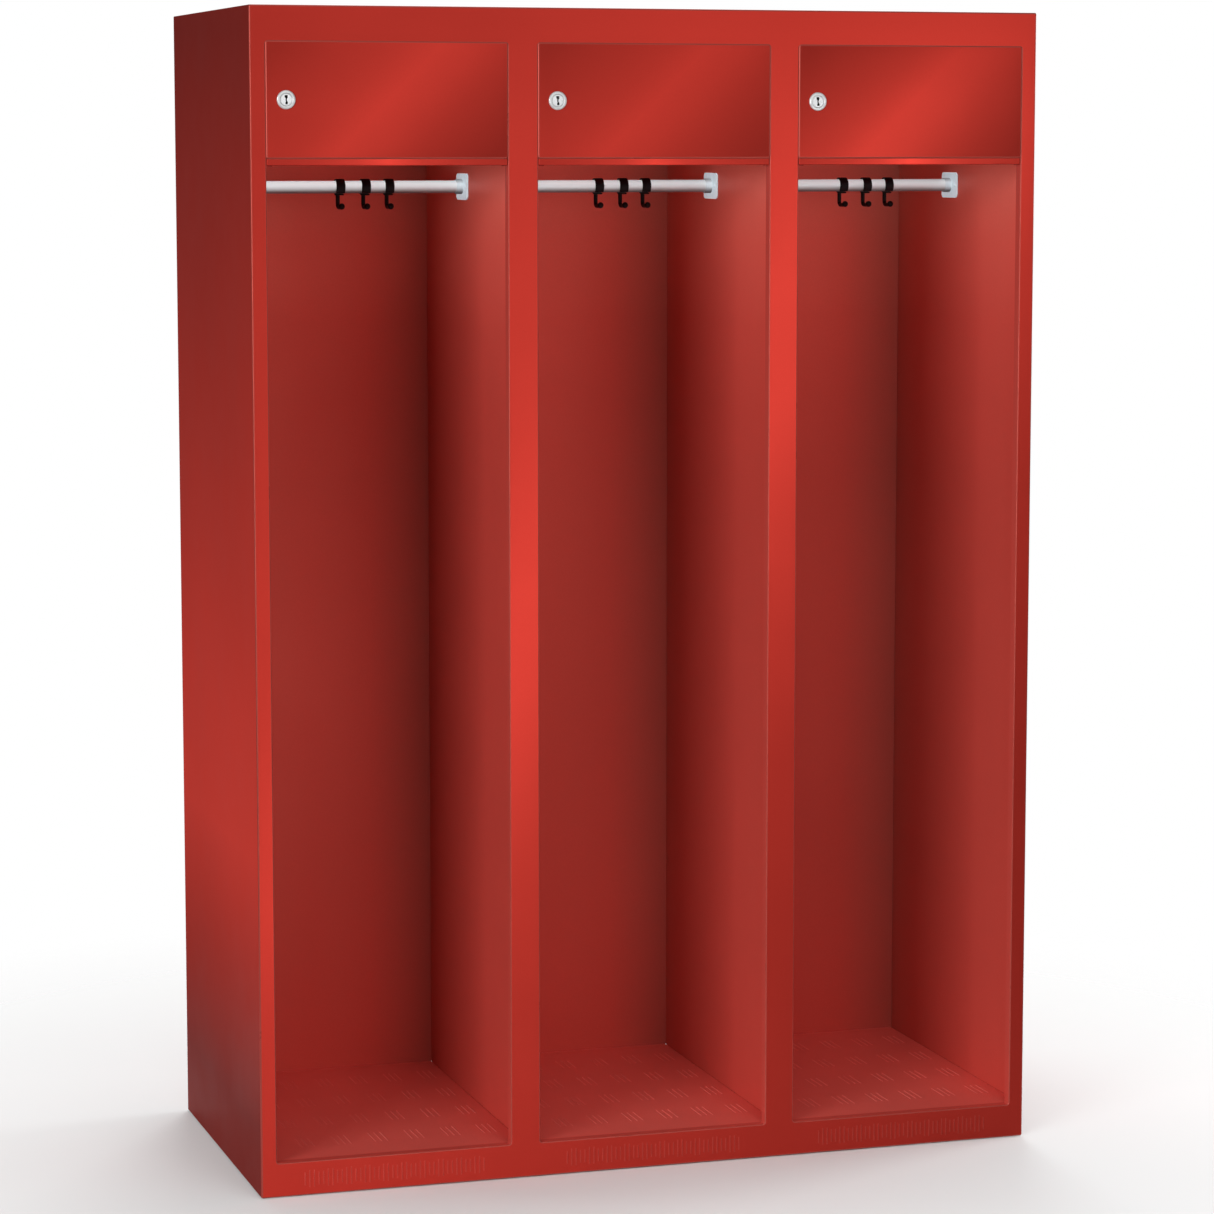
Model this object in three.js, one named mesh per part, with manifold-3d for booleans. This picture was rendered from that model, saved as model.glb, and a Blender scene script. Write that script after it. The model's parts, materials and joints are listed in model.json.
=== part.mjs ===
// Three-bay cloakroom locker in folded sheet steel. Each bay has a small lockable compartment at the top,
// a clothes rail with sliding hooks under it, and a slotted floor above a vented plinth.
// Millimetres. +X to the right seen from the front, the doors face -Y, +Z up.
// The origin is on the floor, under the middle of the outer box.

import * as THREE from 'three';
import { mergeVertices } from 'three/addons/utils/BufferGeometryUtils.js';
import Module from 'manifold-3d';

const wasm = await Module();
wasm.setup();

// ---- Driving dimensions ----------------------------------------------------------------------------

const WIDTH = 1200;
const HEIGHT = 1720;
const DEPTH = 550; // over the lock rosettes
const BAYS = ['left', 'middle', 'right'];
const SHEET = 1; // thickness of every folded sheet
const GAP = 0.3; // between two pieces that are welded or screwed together

const MIDDLE_STILE = 45;
const HEADER = 50;
const PLINTH = 52;
const FOLD = 16; // depth of the returns of stiles, header and plinth
const GROUND_CLEARANCE = 1.5; // under every sheet edge: the glides carry the weight

const SHELF_TOP = 1505;
const SHELF_LIP = 10;
const SHELF_FOLD = 12;
const DOOR_GAP = 1.5;
const DOOR_FOLD = 15;
const STOP_LIP = 10; // hangs behind the top of a closed door
const STOP_LIP_DEPTH = 18;
const STOP_LIP_START = 20; // from the left edge of the opening
const STOP_LIP_END = 30; // short of the hinge axis, so the door's corner can swing past it

const HINGE_INSET = 8; // hinge axis from the door's right edge
const HINGE_BACKSET = 4; // hinge axis behind the door's front face
const PIN_RADIUS = 2;
const PIN_HOLE_RADIUS = 2.3;
const PIN_HEAD_RADIUS = 2.7;
const PIN_HEAD = 1.2;
const PIN_COLLAR_RADIUS = 3.8;
const PIN_REACH = 6; // how far a pin stands inside the door

const LOCK_PROUD = 4;
const LOCK_INSET = 29; // lock axis from the left edge of the opening
const ROSETTE_RADIUS = 13.5;
const ROSETTE_CHAMFER = 1.2;
const BARREL_RADIUS = 10.8;
const BORE_RADIUS = 8.8;
const CORE_RADIUS = 8.5;
const CORE_RECESS = 0.4;
const LOCK_LENGTH = 21; // from the rosette's face to the barrel's rear end
const KEYWAY_WIDTH = 2.2;
const KEYWAY_STEP = 1.1; // the keyway is a zigzag of three short slots
const KEYWAY_HEIGHT = 12;
const KEYWAY_DEPTH = 8;
const CAM_LENGTH = 40;
const CAM_WIDTH = 16;
const CAM_THICKNESS = 2.5;
const CAM_STUD_RADIUS = 4;
const CAM_STUD_END = 1.2; // stands out behind the cam

const RAIL_RADIUS = 9.5;
const RAIL_BORE = 8;
const RAIL_Y = 54;
const RAIL_Z = 1461;
const BRACKET_DEPTH = 62;
const BRACKET_HEIGHT = 40;
const BRACKET_CORNER = 7;
const BRACKET_PLATE = 2.5;
const COLLAR_BORE = 9.8;
const COLLAR_RADIUS = 13;
const COLLAR_LENGTH = 10;

const HOOK_RING_INNER = 10;
const HOOK_RING_OUTER = 12.4;
const HOOK_RING_WIDTH = 14;
const HOOK_RING_START = -100; // degrees from the rear, counted over the top of the rail
const HOOK_RING_END = 230; // leaves a snap-on gap at the front underneath
const HOOK_THICKNESS = 6.4;
const HOOK_STEM_Y = 11; // centre line of the stem, behind the rail's axis
const HOOK_BEND = 6; // centre line radius from stem to foot
const HOOK_TIP_Y = -14; // middle of the ball, in front of the rail's axis
const HOOK_DROP = 30.5; // centre line of the foot, below the rail's axis
const HOOK_BALL_RADIUS = 4.8;
const FIRST_HOOK_X = [6, 14, 15.5]; // from the middle of each bay
const HOOK_STEPS = [0, 39.5, 76]; // from the first hook

const SLOT_COLUMNS = 7;
const SLOT_COLUMN_PITCH = 56;
const SLOT_ROWS = 4;
const SLOT_ROW_PITCH = 117;
const FIRST_SLOT_ROW = 105; // middle of the first row from the front face
const SLOTS_PER_GROUP = 3;
const SLOT_PITCH = 9.3;
const SLOT_LENGTH = 50;
const SLOT_WIDTH = 1.8;

const VENTS_PER_BAY = 40;
const VENT_PITCH = 6.95;
const VENT_WIDTH = 1.8;
const VENT_SHORT = 18.5; // short and long vents take turns in pairs, with one short vent at each end
const VENT_LONG = 25;

const ROUND = 16; // sides of the lock's round pieces and of the rail collars
const RAIL_SIDES = 20;
const PIN_SIDES = 8;
const GLIDE_SIDES = 12;
const BALL_SIDES = 8;
const BALL_RINGS = 6;
const RING_STEPS = 8; // straight steps along each arc of an outline
const CAM_STEPS = 3;
const STEM_STEPS = 2;
const CORNER_STEPS = 1;
const FLOOR_FOLD = 15;
const ROOF_FOLD = 12;
const FOOT_FLANGE = 44; // depth of the lower flanges that hold the glides
const FOOT_FLANGE_Z = 8;
const GLIDE_RADIUS = 16;
const GLIDE_STEM_RADIUS = 5;
const GLIDE_STEM_TOP = 26;
const GLIDE_INSET = 45; // from the outer side faces

// ---- Derived places --------------------------------------------------------------------------------

const FRONT = -DEPTH / 2 + LOCK_PROUD; // outer face of doors and front frame
const BACK = DEPTH / 2;
const BEHIND_FACE = FRONT + SHEET + GAP;
const BEHIND_STOP = FRONT + STOP_LIP_DEPTH + GAP;
const FOLD_BACK = FRONT + FOLD;
const REAR_INNER = BACK - SHEET - GAP;
const REAR_RAIL_FRONT = REAR_INNER - FOOT_FLANGE;
const FRAME_X = WIDTH / 2 - SHEET - GAP; // half width of what stands between the side panels
const END_STILE = (MIDDLE_STILE + SHEET) / 2; // makes the three bays alike inside
const OPENING = (WIDTH - 2 * END_STILE - 2 * MIDDLE_STILE) / BAYS.length;
const BAY_PITCH = OPENING + MIDDLE_STILE;
const BAY_WALL = (BAY_PITCH - SHEET) / 2; // inner face of a bay's walls, from its middle
const BAY_INNER = BAY_WALL - GAP;
const MOUTH = OPENING / 2 - GAP; // half width of what stands between two stiles
const UNDER_ROOF = HEIGHT - SHEET - GAP;
const HEADER_BOTTOM = HEIGHT - HEADER;
const ABOVE_PLINTH = PLINTH + GAP;
const FLOOR_TOP = PLINTH - SHEET - GAP;
const DOOR_WIDTH = OPENING - 2 * DOOR_GAP;
const DOOR_BOTTOM = SHELF_TOP + DOOR_GAP;
const DOOR_TOP = HEADER_BOTTOM - DOOR_GAP;
const HINGE_X = OPENING / 2 - DOOR_GAP - HINGE_INSET;
const HINGE_Y = FRONT + HINGE_BACKSET;
const LOCK_X = -OPENING / 2 + LOCK_INSET;
const LOCK_Z = (SHELF_TOP + HEADER_BOTTOM) / 2;
const CAM_Y = LOCK_LENGTH + GAP; // front of the cam, behind the rosette's face
const GLIDE_X = WIDTH / 2 - GLIDE_INSET;
const GLIDE_FRONT_Y = FRONT + FOOT_FLANGE / 2 + SHEET;
const GLIDE_REAR_Y = REAR_INNER - FOOT_FLANGE / 2 - SHEET;
const bayX = (index) => (index - (BAYS.length - 1) / 2) * BAY_PITCH;

// ---- Materials -------------------------------------------------------------------------------------

const material = (color, roughness, metalness) =>
  new THREE.MeshStandardMaterial({ color, roughness, metalness });

const redFrame = material(0xb6382d, 0.42, 0.1);
const redDoor = material(0xad342a, 0.4, 0.1);
const redInside = material(0x97302a, 0.5, 0.1);
const railSteel = material(0xd9dee1, 0.28, 0.9);
const bracketZinc = material(0xb9c4ca, 0.45, 0.7);
const hookPlastic = material(0x121416, 0.35, 0);
const lockNickel = material(0xc6c7c5, 0.3, 0.85);
const coreNickel = material(0xe6e6e2, 0.25, 0.9);
const plainSteel = material(0x9a9c9d, 0.4, 0.85);
const glidePlastic = material(0x1c1c1c, 0.8, 0);

// ---- Solid helpers ---------------------------------------------------------------------------------

function solid(geometry) {
  geometry.deleteAttribute('normal');
  geometry.deleteAttribute('uv');
  const merged = mergeVertices(geometry, 1e-4);
  return new wasm.Manifold(new wasm.Mesh({
    numProp: 3,
    vertProperties: Float32Array.from(merged.attributes.position.array),
    triVerts: Uint32Array.from(merged.index.array),
  }));
}

function mesh(name, body, look) {
  const { vertProperties, triVerts } = body.getMesh();
  const geometry = new THREE.BufferGeometry();
  geometry.setAttribute('position', new THREE.BufferAttribute(vertProperties, 3));
  geometry.setIndex(new THREE.BufferAttribute(triVerts, 1));
  geometry.computeVertexNormals();
  const part = new THREE.Mesh(geometry, look);
  part.name = name;
  return part;
}

const joined = (bodies) => bodies.reduce((sum, body) => sum.add(body));

function box(x0, x1, y0, y1, z0, z1) {
  const geometry = new THREE.BoxGeometry(x1 - x0, y1 - y0, z1 - z0);
  geometry.translate((x0 + x1) / 2, (y0 + y1) / 2, (z0 + z1) / 2);
  return solid(geometry);
}

// Turned about the Y axis from [radius, y] points, listed upwards along the outer side.
function turned(points, segments) {
  return solid(new THREE.LatheGeometry(points.map(([r, y]) => new THREE.Vector2(r, y)), segments));
}

const bar = (radius, y0, y1, segments) =>
  turned([[0, y0], [radius, y0], [radius, y1], [0, y1]], segments);

const tube = (bore, radius, y0, y1, segments) =>
  turned([[bore, y0], [radius, y0], [radius, y1], [bore, y1], [bore, y0]], segments);

// What was made along Y, turned to lie along X or to stand along Z.
const alongX = (body) => body.rotate([0, 0, -90]);
const alongZ = (body) => body.rotate([90, 0, 0]);

function extruded(shape, depth, curveSegments) {
  return solid(new THREE.ExtrudeGeometry(shape, { depth, bevelEnabled: false, curveSegments }));
}

// An outline drawn as (y, z), extruded along X and centred on x = 0.
function sideProfile(shape, width, curveSegments = CORNER_STEPS) {
  return extruded(shape, width, curveSegments).rotate([90, 0, 90]).translate([-width / 2, 0, 0]);
}

// ---- Carcass ---------------------------------------------------------------------------------------

const sidePanel = () => box(-SHEET / 2, SHEET / 2, FRONT, BACK, GROUND_CLEARANCE, HEIGHT);

const backPanel = () => box(-FRAME_X, FRAME_X, BACK - SHEET, BACK, GROUND_CLEARANCE, HEIGHT);

// Its front tongue reaches into the stile, and its foot stands between the floors.
function partition() {
  const tongueTop = HEADER_BOTTOM - STOP_LIP - GAP;
  const outline = new THREE.Shape();
  outline.moveTo(BEHIND_FACE, ABOVE_PLINTH);
  outline.lineTo(BEHIND_STOP, ABOVE_PLINTH);
  outline.lineTo(BEHIND_STOP, FLOOR_TOP - FLOOR_FOLD);
  outline.lineTo(REAR_RAIL_FRONT - GAP, FLOOR_TOP - FLOOR_FOLD);
  outline.lineTo(REAR_RAIL_FRONT - GAP, ABOVE_PLINTH);
  outline.lineTo(REAR_INNER, ABOVE_PLINTH);
  outline.lineTo(REAR_INNER, UNDER_ROOF);
  outline.lineTo(BEHIND_STOP, UNDER_ROOF);
  outline.lineTo(BEHIND_STOP, tongueTop);
  outline.lineTo(BEHIND_FACE, tongueTop);
  outline.closePath();
  return sideProfile(outline, SHEET);
}

// Both ends of the roof are folded down inside the side panels.
function roofPanel() {
  const z0 = HEIGHT - ROOF_FOLD;
  return joined([
    box(-FRAME_X, FRAME_X, BEHIND_FACE, REAR_INNER, HEIGHT - SHEET, HEIGHT),
    box(-FRAME_X, -FRAME_X + SHEET, BEHIND_STOP, REAR_INNER, z0, HEIGHT),
    box(FRAME_X - SHEET, FRAME_X, BEHIND_STOP, REAR_INNER, z0, HEIGHT),
  ]);
}

// A channel between x0 and x1, with its face to the front and two returns.
function stile(x0, x1) {
  const z1 = HEADER_BOTTOM - GAP;
  return joined([
    box(x0, x1, FRONT, FRONT + SHEET, ABOVE_PLINTH, z1),
    box(x0, x0 + SHEET, FRONT, FOLD_BACK, ABOVE_PLINTH, z1),
    box(x1 - SHEET, x1, FRONT, FOLD_BACK, ABOVE_PLINTH, z1),
  ]);
}

const pinHole = (z) => alongZ(bar(PIN_HOLE_RADIUS, -SHEET, SHEET, PIN_SIDES)).translate([0, 0, z]);

// A stop lip hangs behind the top of each door, and each upper hinge pin has its hole.
function headerRail() {
  const stopBack = FRONT + STOP_LIP_DEPTH;
  const returnZ = HEADER_BOTTOM + SHEET;
  const pieces = [
    box(-FRAME_X, FRAME_X, FRONT, FRONT + SHEET, HEADER_BOTTOM, HEIGHT),
    box(-FRAME_X, FRAME_X, FRONT, FOLD_BACK, UNDER_ROOF - SHEET, UNDER_ROOF),
    box(-FRAME_X, FRAME_X, FRONT, stopBack, HEADER_BOTTOM, returnZ),
  ];
  const holes = [];
  for (const index of BAYS.keys()) {
    const x0 = bayX(index) - OPENING / 2 + STOP_LIP_START;
    const x1 = bayX(index) + HINGE_X - STOP_LIP_END;
    pieces.push(box(x0, x1, stopBack - SHEET, stopBack, HEADER_BOTTOM - STOP_LIP, returnZ));
    holes.push(pinHole(HEADER_BOTTOM + SHEET / 2).translate([bayX(index) + HINGE_X, HINGE_Y, 0]));
  }
  return joined(pieces).subtract(joined(holes));
}

function glideHoles(y) {
  const hole = alongZ(bar(GLIDE_STEM_RADIUS + GAP, -SHEET, SHEET, GLIDE_SIDES));
  const z = FOOT_FLANGE_Z + SHEET / 2;
  return joined([-GLIDE_X, GLIDE_X].map((x) => hole.translate([x, y, z])));
}

// A row of thin upright slots, to be cut through the plinth under one bay.
function ventField() {
  const vents = [];
  for (let number = 0; number < VENTS_PER_BAY; number += 1) {
    const x = (number - (VENTS_PER_BAY - 1) / 2) * VENT_PITCH;
    const isShort = Math.ceil(number / 2) % 2 === 0;
    const half = (isShort ? VENT_SHORT : VENT_LONG) / 2;
    const vent = box(-VENT_WIDTH / 2, VENT_WIDTH / 2, -SHEET, 2 * SHEET, -half, half);
    vents.push(vent.translate([x, FRONT, PLINTH / 2]));
  }
  return joined(vents);
}

function plinthRail() {
  const flangeTop = FOOT_FLANGE_Z + SHEET;
  const face = box(-FRAME_X, FRAME_X, FRONT, FRONT + SHEET, GROUND_CLEARANCE, PLINTH);
  const fields = [...BAYS.keys()].map((index) => ventField().translate([bayX(index), 0, 0]));
  return joined([
    face.subtract(joined(fields)),
    box(-FRAME_X, FRAME_X, FRONT, FOLD_BACK, PLINTH - SHEET, PLINTH),
    box(-FRAME_X, FRAME_X, FRONT, FRONT + FOOT_FLANGE, FOOT_FLANGE_Z, flangeTop),
  ]).subtract(glideHoles(GLIDE_FRONT_Y));
}

// A channel across the back, under the rear edges of the floors.
function rearBaseRail() {
  const top = FLOOR_TOP - SHEET - GAP;
  const flangeTop = FOOT_FLANGE_Z + SHEET;
  return joined([
    box(-FRAME_X, FRAME_X, REAR_INNER - SHEET, REAR_INNER, GROUND_CLEARANCE, top),
    box(-FRAME_X, FRAME_X, REAR_RAIL_FRONT, REAR_INNER, FOOT_FLANGE_Z, flangeTop),
    box(-FRAME_X, FRAME_X, REAR_RAIL_FRONT, REAR_INNER, top - SHEET, top),
  ]).subtract(glideHoles(GLIDE_REAR_Y));
}

// A levelling glide, screwed up through its flange from below.
function glide() {
  const discTop = FOOT_FLANGE_Z - GAP;
  return alongZ(turned([
    [0, 0], [GLIDE_RADIUS - 1, 0], [GLIDE_RADIUS, 1], [GLIDE_RADIUS, discTop],
    [GLIDE_STEM_RADIUS, discTop], [GLIDE_STEM_RADIUS, GLIDE_STEM_TOP], [0, GLIDE_STEM_TOP],
  ], GLIDE_SIDES));
}

// ---- One bay, about its own middle -----------------------------------------------------------------

// A level sheet under `top`, narrow between the stiles and full width behind them.
function baySheet(frontY, top) {
  return joined([
    box(-MOUTH, MOUTH, frontY, REAR_INNER, top - SHEET, top),
    box(-BAY_INNER, BAY_INNER, BEHIND_STOP, REAR_INNER, top - SHEET, top),
  ]);
}

function sideFolds(y1, z0, z1) {
  return [
    box(-BAY_INNER, -BAY_INNER + SHEET, BEHIND_STOP, y1, z0, z1),
    box(BAY_INNER - SHEET, BAY_INNER, BEHIND_STOP, y1, z0, z1),
  ];
}

function shelf() {
  const lipZ = SHELF_TOP - SHELF_LIP;
  return joined([
    baySheet(FRONT, SHELF_TOP),
    box(-MOUTH, MOUTH, FRONT, FRONT + SHEET, lipZ, SHELF_TOP),
    box(-MOUTH, MOUTH, FRONT, FRONT + SHELF_LIP, lipZ, lipZ + SHEET),
    ...sideFolds(REAR_INNER, SHELF_TOP - SHELF_FOLD, SHELF_TOP),
  ]).subtract(pinHole(SHELF_TOP - SHEET / 2).translate([HINGE_X, HINGE_Y, 0]));
}

// Rows of short slots that run from front to back, in groups of three.
function floorSlots() {
  const slot = box(-SLOT_WIDTH / 2, SLOT_WIDTH / 2, -SLOT_LENGTH / 2, SLOT_LENGTH / 2, -2 * SHEET, SHEET);
  const slots = [];
  for (let row = 0; row < SLOT_ROWS; row += 1) {
    const y = FRONT + FIRST_SLOT_ROW + row * SLOT_ROW_PITCH;
    for (let column = 0; column < SLOT_COLUMNS; column += 1) {
      const groupX = (column - (SLOT_COLUMNS - 1) / 2) * SLOT_COLUMN_PITCH;
      for (let number = 0; number < SLOTS_PER_GROUP; number += 1) {
        const x = groupX + (number - (SLOTS_PER_GROUP - 1) / 2) * SLOT_PITCH;
        slots.push(slot.translate([x, y, FLOOR_TOP]));
      }
    }
  }
  return joined(slots);
}

function floorPanel() {
  return joined([
    baySheet(BEHIND_FACE, FLOOR_TOP).subtract(floorSlots()),
    ...sideFolds(REAR_RAIL_FRONT - GAP, FLOOR_TOP - FLOOR_FOLD, FLOOR_TOP),
  ]);
}

// Stands on the outer face of its sheet at z = 0, riveted below it, and enters the door above.
function hingePin() {
  const underSheet = -SHEET - GAP;
  return alongZ(turned([
    [0, underSheet - PIN_HEAD], [PIN_HEAD_RADIUS, underSheet - PIN_HEAD],
    [PIN_HEAD_RADIUS, underSheet], [PIN_RADIUS, underSheet],
    [PIN_RADIUS, GAP], [PIN_COLLAR_RADIUS, GAP],
    [PIN_COLLAR_RADIUS, DOOR_GAP - GAP], [PIN_RADIUS, DOOR_GAP - GAP],
    [PIN_RADIUS, DOOR_GAP + PIN_REACH], [0, DOOR_GAP + PIN_REACH],
  ], PIN_SIDES));
}

function clothesRail() {
  const half = BAY_INNER - BRACKET_PLATE - GAP;
  return alongX(tube(RAIL_BORE, RAIL_RADIUS, -half, half, RAIL_SIDES));
}

// The plate lies on the wall at x = 0, the collar stands out of it along +X.
function railBracket() {
  const y = BRACKET_DEPTH / 2;
  const z = BRACKET_HEIGHT / 2;
  const r = BRACKET_CORNER;
  const outline = new THREE.Shape();
  outline.absarc(y - r, z - r, r, 0, Math.PI / 2);
  outline.absarc(-y + r, z - r, r, Math.PI / 2, Math.PI);
  outline.absarc(-y + r, -z + r, r, Math.PI, 1.5 * Math.PI);
  outline.absarc(y - r, -z + r, r, 1.5 * Math.PI, 2 * Math.PI);
  outline.closePath();
  const wallPlate = sideProfile(outline, BRACKET_PLATE).translate([BRACKET_PLATE / 2, 0, 0]);
  const collarEnd = BRACKET_PLATE + COLLAR_LENGTH;
  const collar = tube(COLLAR_BORE, COLLAR_RADIUS, BRACKET_PLATE / 2, collarEnd, ROUND);
  return wallPlate.add(alongX(collar));
}

// About the rail's axis: a snap-on ring, and a stem with a forward foot that ends in a ball.
function hook() {
  const rad = THREE.MathUtils.degToRad;
  const ring = new THREE.Shape();
  ring.absarc(0, 0, HOOK_RING_OUTER, rad(HOOK_RING_START), rad(HOOK_RING_END), false);
  ring.absarc(0, 0, HOOK_RING_INNER, rad(HOOK_RING_END), rad(HOOK_RING_START), true);
  ring.closePath();

  const half = HOOK_THICKNESS / 2;
  const bendY = HOOK_STEM_Y - HOOK_BEND;
  const bendZ = -HOOK_DROP + HOOK_BEND;
  const foot = new THREE.Shape();
  foot.moveTo(HOOK_STEM_Y - half, 0);
  foot.lineTo(HOOK_STEM_Y - half, bendZ);
  foot.absarc(bendY, bendZ, HOOK_BEND - half, 0, -Math.PI / 2, true);
  foot.lineTo(HOOK_TIP_Y, -HOOK_DROP + half);
  foot.lineTo(HOOK_TIP_Y, -HOOK_DROP - half);
  foot.lineTo(bendY, -HOOK_DROP - half);
  foot.absarc(bendY, bendZ, HOOK_BEND + half, -Math.PI / 2, 0, false);
  foot.lineTo(HOOK_STEM_Y + half, 0);
  foot.closePath();

  const ballZ = -HOOK_DROP - half + HOOK_BALL_RADIUS;
  const ball = solid(new THREE.SphereGeometry(HOOK_BALL_RADIUS, BALL_SIDES, BALL_RINGS));
  const railSpace = alongX(bar(HOOK_RING_INNER, -HOOK_RING_WIDTH, HOOK_RING_WIDTH, RAIL_SIDES));
  return sideProfile(foot, HOOK_THICKNESS, STEM_STEPS)
    .subtract(railSpace)
    .add(ball.translate([0, HOOK_TIP_Y, ballZ]))
    .add(sideProfile(ring, HOOK_RING_WIDTH, RING_STEPS));
}

// ---- Door and lock ---------------------------------------------------------------------------------

// A shallow pan about its hinge axis, with a hole for the lock and one for each pin.
function door() {
  const x1 = HINGE_INSET;
  const x0 = x1 - DOOR_WIDTH;
  const y0 = -HINGE_BACKSET;
  const pan = box(x0, x1, y0, y0 + DOOR_FOLD, DOOR_BOTTOM, DOOR_TOP).subtract(
    box(x0 + SHEET, x1 - SHEET, y0 + SHEET, y0 + 2 * DOOR_FOLD, DOOR_BOTTOM + SHEET, DOOR_TOP - SHEET),
  );
  const lockHole = bar(BARREL_RADIUS + GAP, -DOOR_FOLD, DOOR_FOLD, ROUND);
  return pan.subtract(joined([
    lockHole.translate([LOCK_X - HINGE_X, 0, LOCK_Z]),
    pinHole(DOOR_BOTTOM + SHEET / 2),
    pinHole(DOOR_TOP - SHEET / 2),
  ]));
}

// The lock's pieces lie about its own axis, with y = 0 on the rosette's face.
function lockHousing() {
  const seat = LOCK_PROUD - GAP;
  return turned([
    [BORE_RADIUS, 0], [ROSETTE_RADIUS - ROSETTE_CHAMFER, 0], [ROSETTE_RADIUS, ROSETTE_CHAMFER],
    [ROSETTE_RADIUS, seat], [BARREL_RADIUS, seat], [BARREL_RADIUS, LOCK_LENGTH],
    [BORE_RADIUS, LOCK_LENGTH], [BORE_RADIUS, 0],
  ], ROUND);
}

function lockCore() {
  const studEnd = CAM_Y + CAM_THICKNESS + CAM_STUD_END;
  const core = turned([
    [0, CORE_RECESS], [CORE_RADIUS, CORE_RECESS], [CORE_RADIUS, LOCK_LENGTH],
    [CAM_STUD_RADIUS, LOCK_LENGTH], [CAM_STUD_RADIUS, studEnd], [0, studEnd],
  ], ROUND);
  const third = KEYWAY_HEIGHT / 3;
  const half = KEYWAY_WIDTH / 2;
  const overlap = half / 2;
  const keyway = joined([-1, 0, 1].map((step) => {
    const x = (step === 0 ? 1 : -1) * KEYWAY_STEP / 2;
    const z = step * third;
    return box(x - half, x + half, -1, KEYWAY_DEPTH, z - third / 2 - overlap, z + third / 2 + overlap);
  }));
  return core.subtract(keyway);
}

// Hangs straight down when unlocked.
function lockCam() {
  const half = CAM_WIDTH / 2;
  const outline = new THREE.Shape();
  outline.absarc(0, 0, half, 0, Math.PI, false);
  outline.absarc(0, -CAM_LENGTH + half, half, Math.PI, 2 * Math.PI, false);
  outline.closePath();
  const stud = bar(CAM_STUD_RADIUS + GAP, 0, 2 * LOCK_LENGTH, ROUND);
  return extruded(outline, CAM_THICKNESS, CAM_STEPS)
    .rotate([90, 0, 0])
    .translate([0, CAM_Y + CAM_THICKNESS, 0])
    .subtract(stud);
}

// ---- Assembly --------------------------------------------------------------------------------------

function at(object, x, y, z) {
  object.position.set(x, y, z);
  return object;
}

function carcass() {
  const group = new THREE.Group();
  const stileX = bayX(0) - OPENING / 2;
  const middleX = BAY_PITCH / 2;
  const half = MIDDLE_STILE / 2;
  group.add(
    at(mesh('left_side_panel', sidePanel(), redFrame), -(WIDTH - SHEET) / 2, 0, 0),
    at(mesh('right_side_panel', sidePanel(), redFrame), (WIDTH - SHEET) / 2, 0, 0),
    at(mesh('left_partition', partition(), redInside), -middleX, 0, 0),
    at(mesh('right_partition', partition(), redInside), middleX, 0, 0),
    mesh('roof_panel', roofPanel(), redFrame),
    mesh('back_panel', backPanel(), redInside),
    mesh('header_rail', headerRail(), redFrame),
    mesh('plinth_rail', plinthRail(), redFrame),
    mesh('rear_base_rail', rearBaseRail(), redInside),
    mesh('left_end_stile', stile(-FRAME_X, stileX), redFrame),
    mesh('right_end_stile', stile(-stileX, FRAME_X), redFrame),
    at(mesh('left_middle_stile', stile(-half, half), redFrame), -middleX, 0, 0),
    at(mesh('right_middle_stile', stile(-half, half), redFrame), middleX, 0, 0),
  );
  for (const [side, sign] of [['left', -1], ['right', 1]]) {
    group.add(
      at(mesh(`front_${side}_glide`, glide(), glidePlastic), sign * GLIDE_X, GLIDE_FRONT_Y, 0),
      at(mesh(`rear_${side}_glide`, glide(), glidePlastic), sign * GLIDE_X, GLIDE_REAR_Y, 0),
    );
  }
  return group;
}

function doorAssembly(bay) {
  const group = new THREE.Group();
  const lock = at(new THREE.Group(), LOCK_X - HINGE_X, -DEPTH / 2 - HINGE_Y, LOCK_Z);
  lock.add(
    mesh(`${bay}_lock_housing`, lockHousing(), lockNickel),
    mesh(`${bay}_lock_core`, lockCore(), coreNickel),
    mesh(`${bay}_lock_cam`, lockCam(), plainSteel),
  );
  group.add(mesh(`${bay}_door`, door(), redDoor), lock);
  return at(group, HINGE_X, HINGE_Y, 0);
}

function railAssembly(bay, index) {
  const group = new THREE.Group();
  const leftBracket = mesh(`${bay}_rail_bracket_left`, railBracket(), bracketZinc);
  const rightBracket = mesh(`${bay}_rail_bracket_right`, railBracket(), bracketZinc);
  rightBracket.rotation.z = Math.PI;
  group.add(
    mesh(`${bay}_clothes_rail`, clothesRail(), railSteel),
    at(leftBracket, -BAY_INNER, 0, 0),
    at(rightBracket, BAY_INNER, 0, 0),
  );
  for (const [number, step] of HOOK_STEPS.entries()) {
    group.add(at(mesh(`${bay}_hook_${number + 1}`, hook(), hookPlastic), FIRST_HOOK_X[index] + step, 0, 0));
  }
  return at(group, 0, RAIL_Y, RAIL_Z);
}

function bayAssembly(bay, index) {
  const group = new THREE.Group();
  const lowerPin = mesh(`${bay}_lower_hinge_pin`, hingePin(), plainSteel);
  const upperPin = mesh(`${bay}_upper_hinge_pin`, hingePin(), plainSteel);
  upperPin.rotation.x = Math.PI;
  group.add(
    mesh(`${bay}_shelf`, shelf(), redInside),
    mesh(`${bay}_floor`, floorPanel(), redInside),
    at(lowerPin, HINGE_X, HINGE_Y, SHELF_TOP),
    at(upperPin, HINGE_X, HINGE_Y, HEADER_BOTTOM),
    doorAssembly(bay),
    railAssembly(bay, index),
  );
  return at(group, bayX(index), 0, 0);
}

const locker = new THREE.Group();
locker.add(carcass(), ...BAYS.map(bayAssembly));

export default locker;
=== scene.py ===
import json
import math

import bmesh
import bpy
from mathutils import Matrix, Vector
from mathutils.geometry import delaunay_2d_cdt

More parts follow.
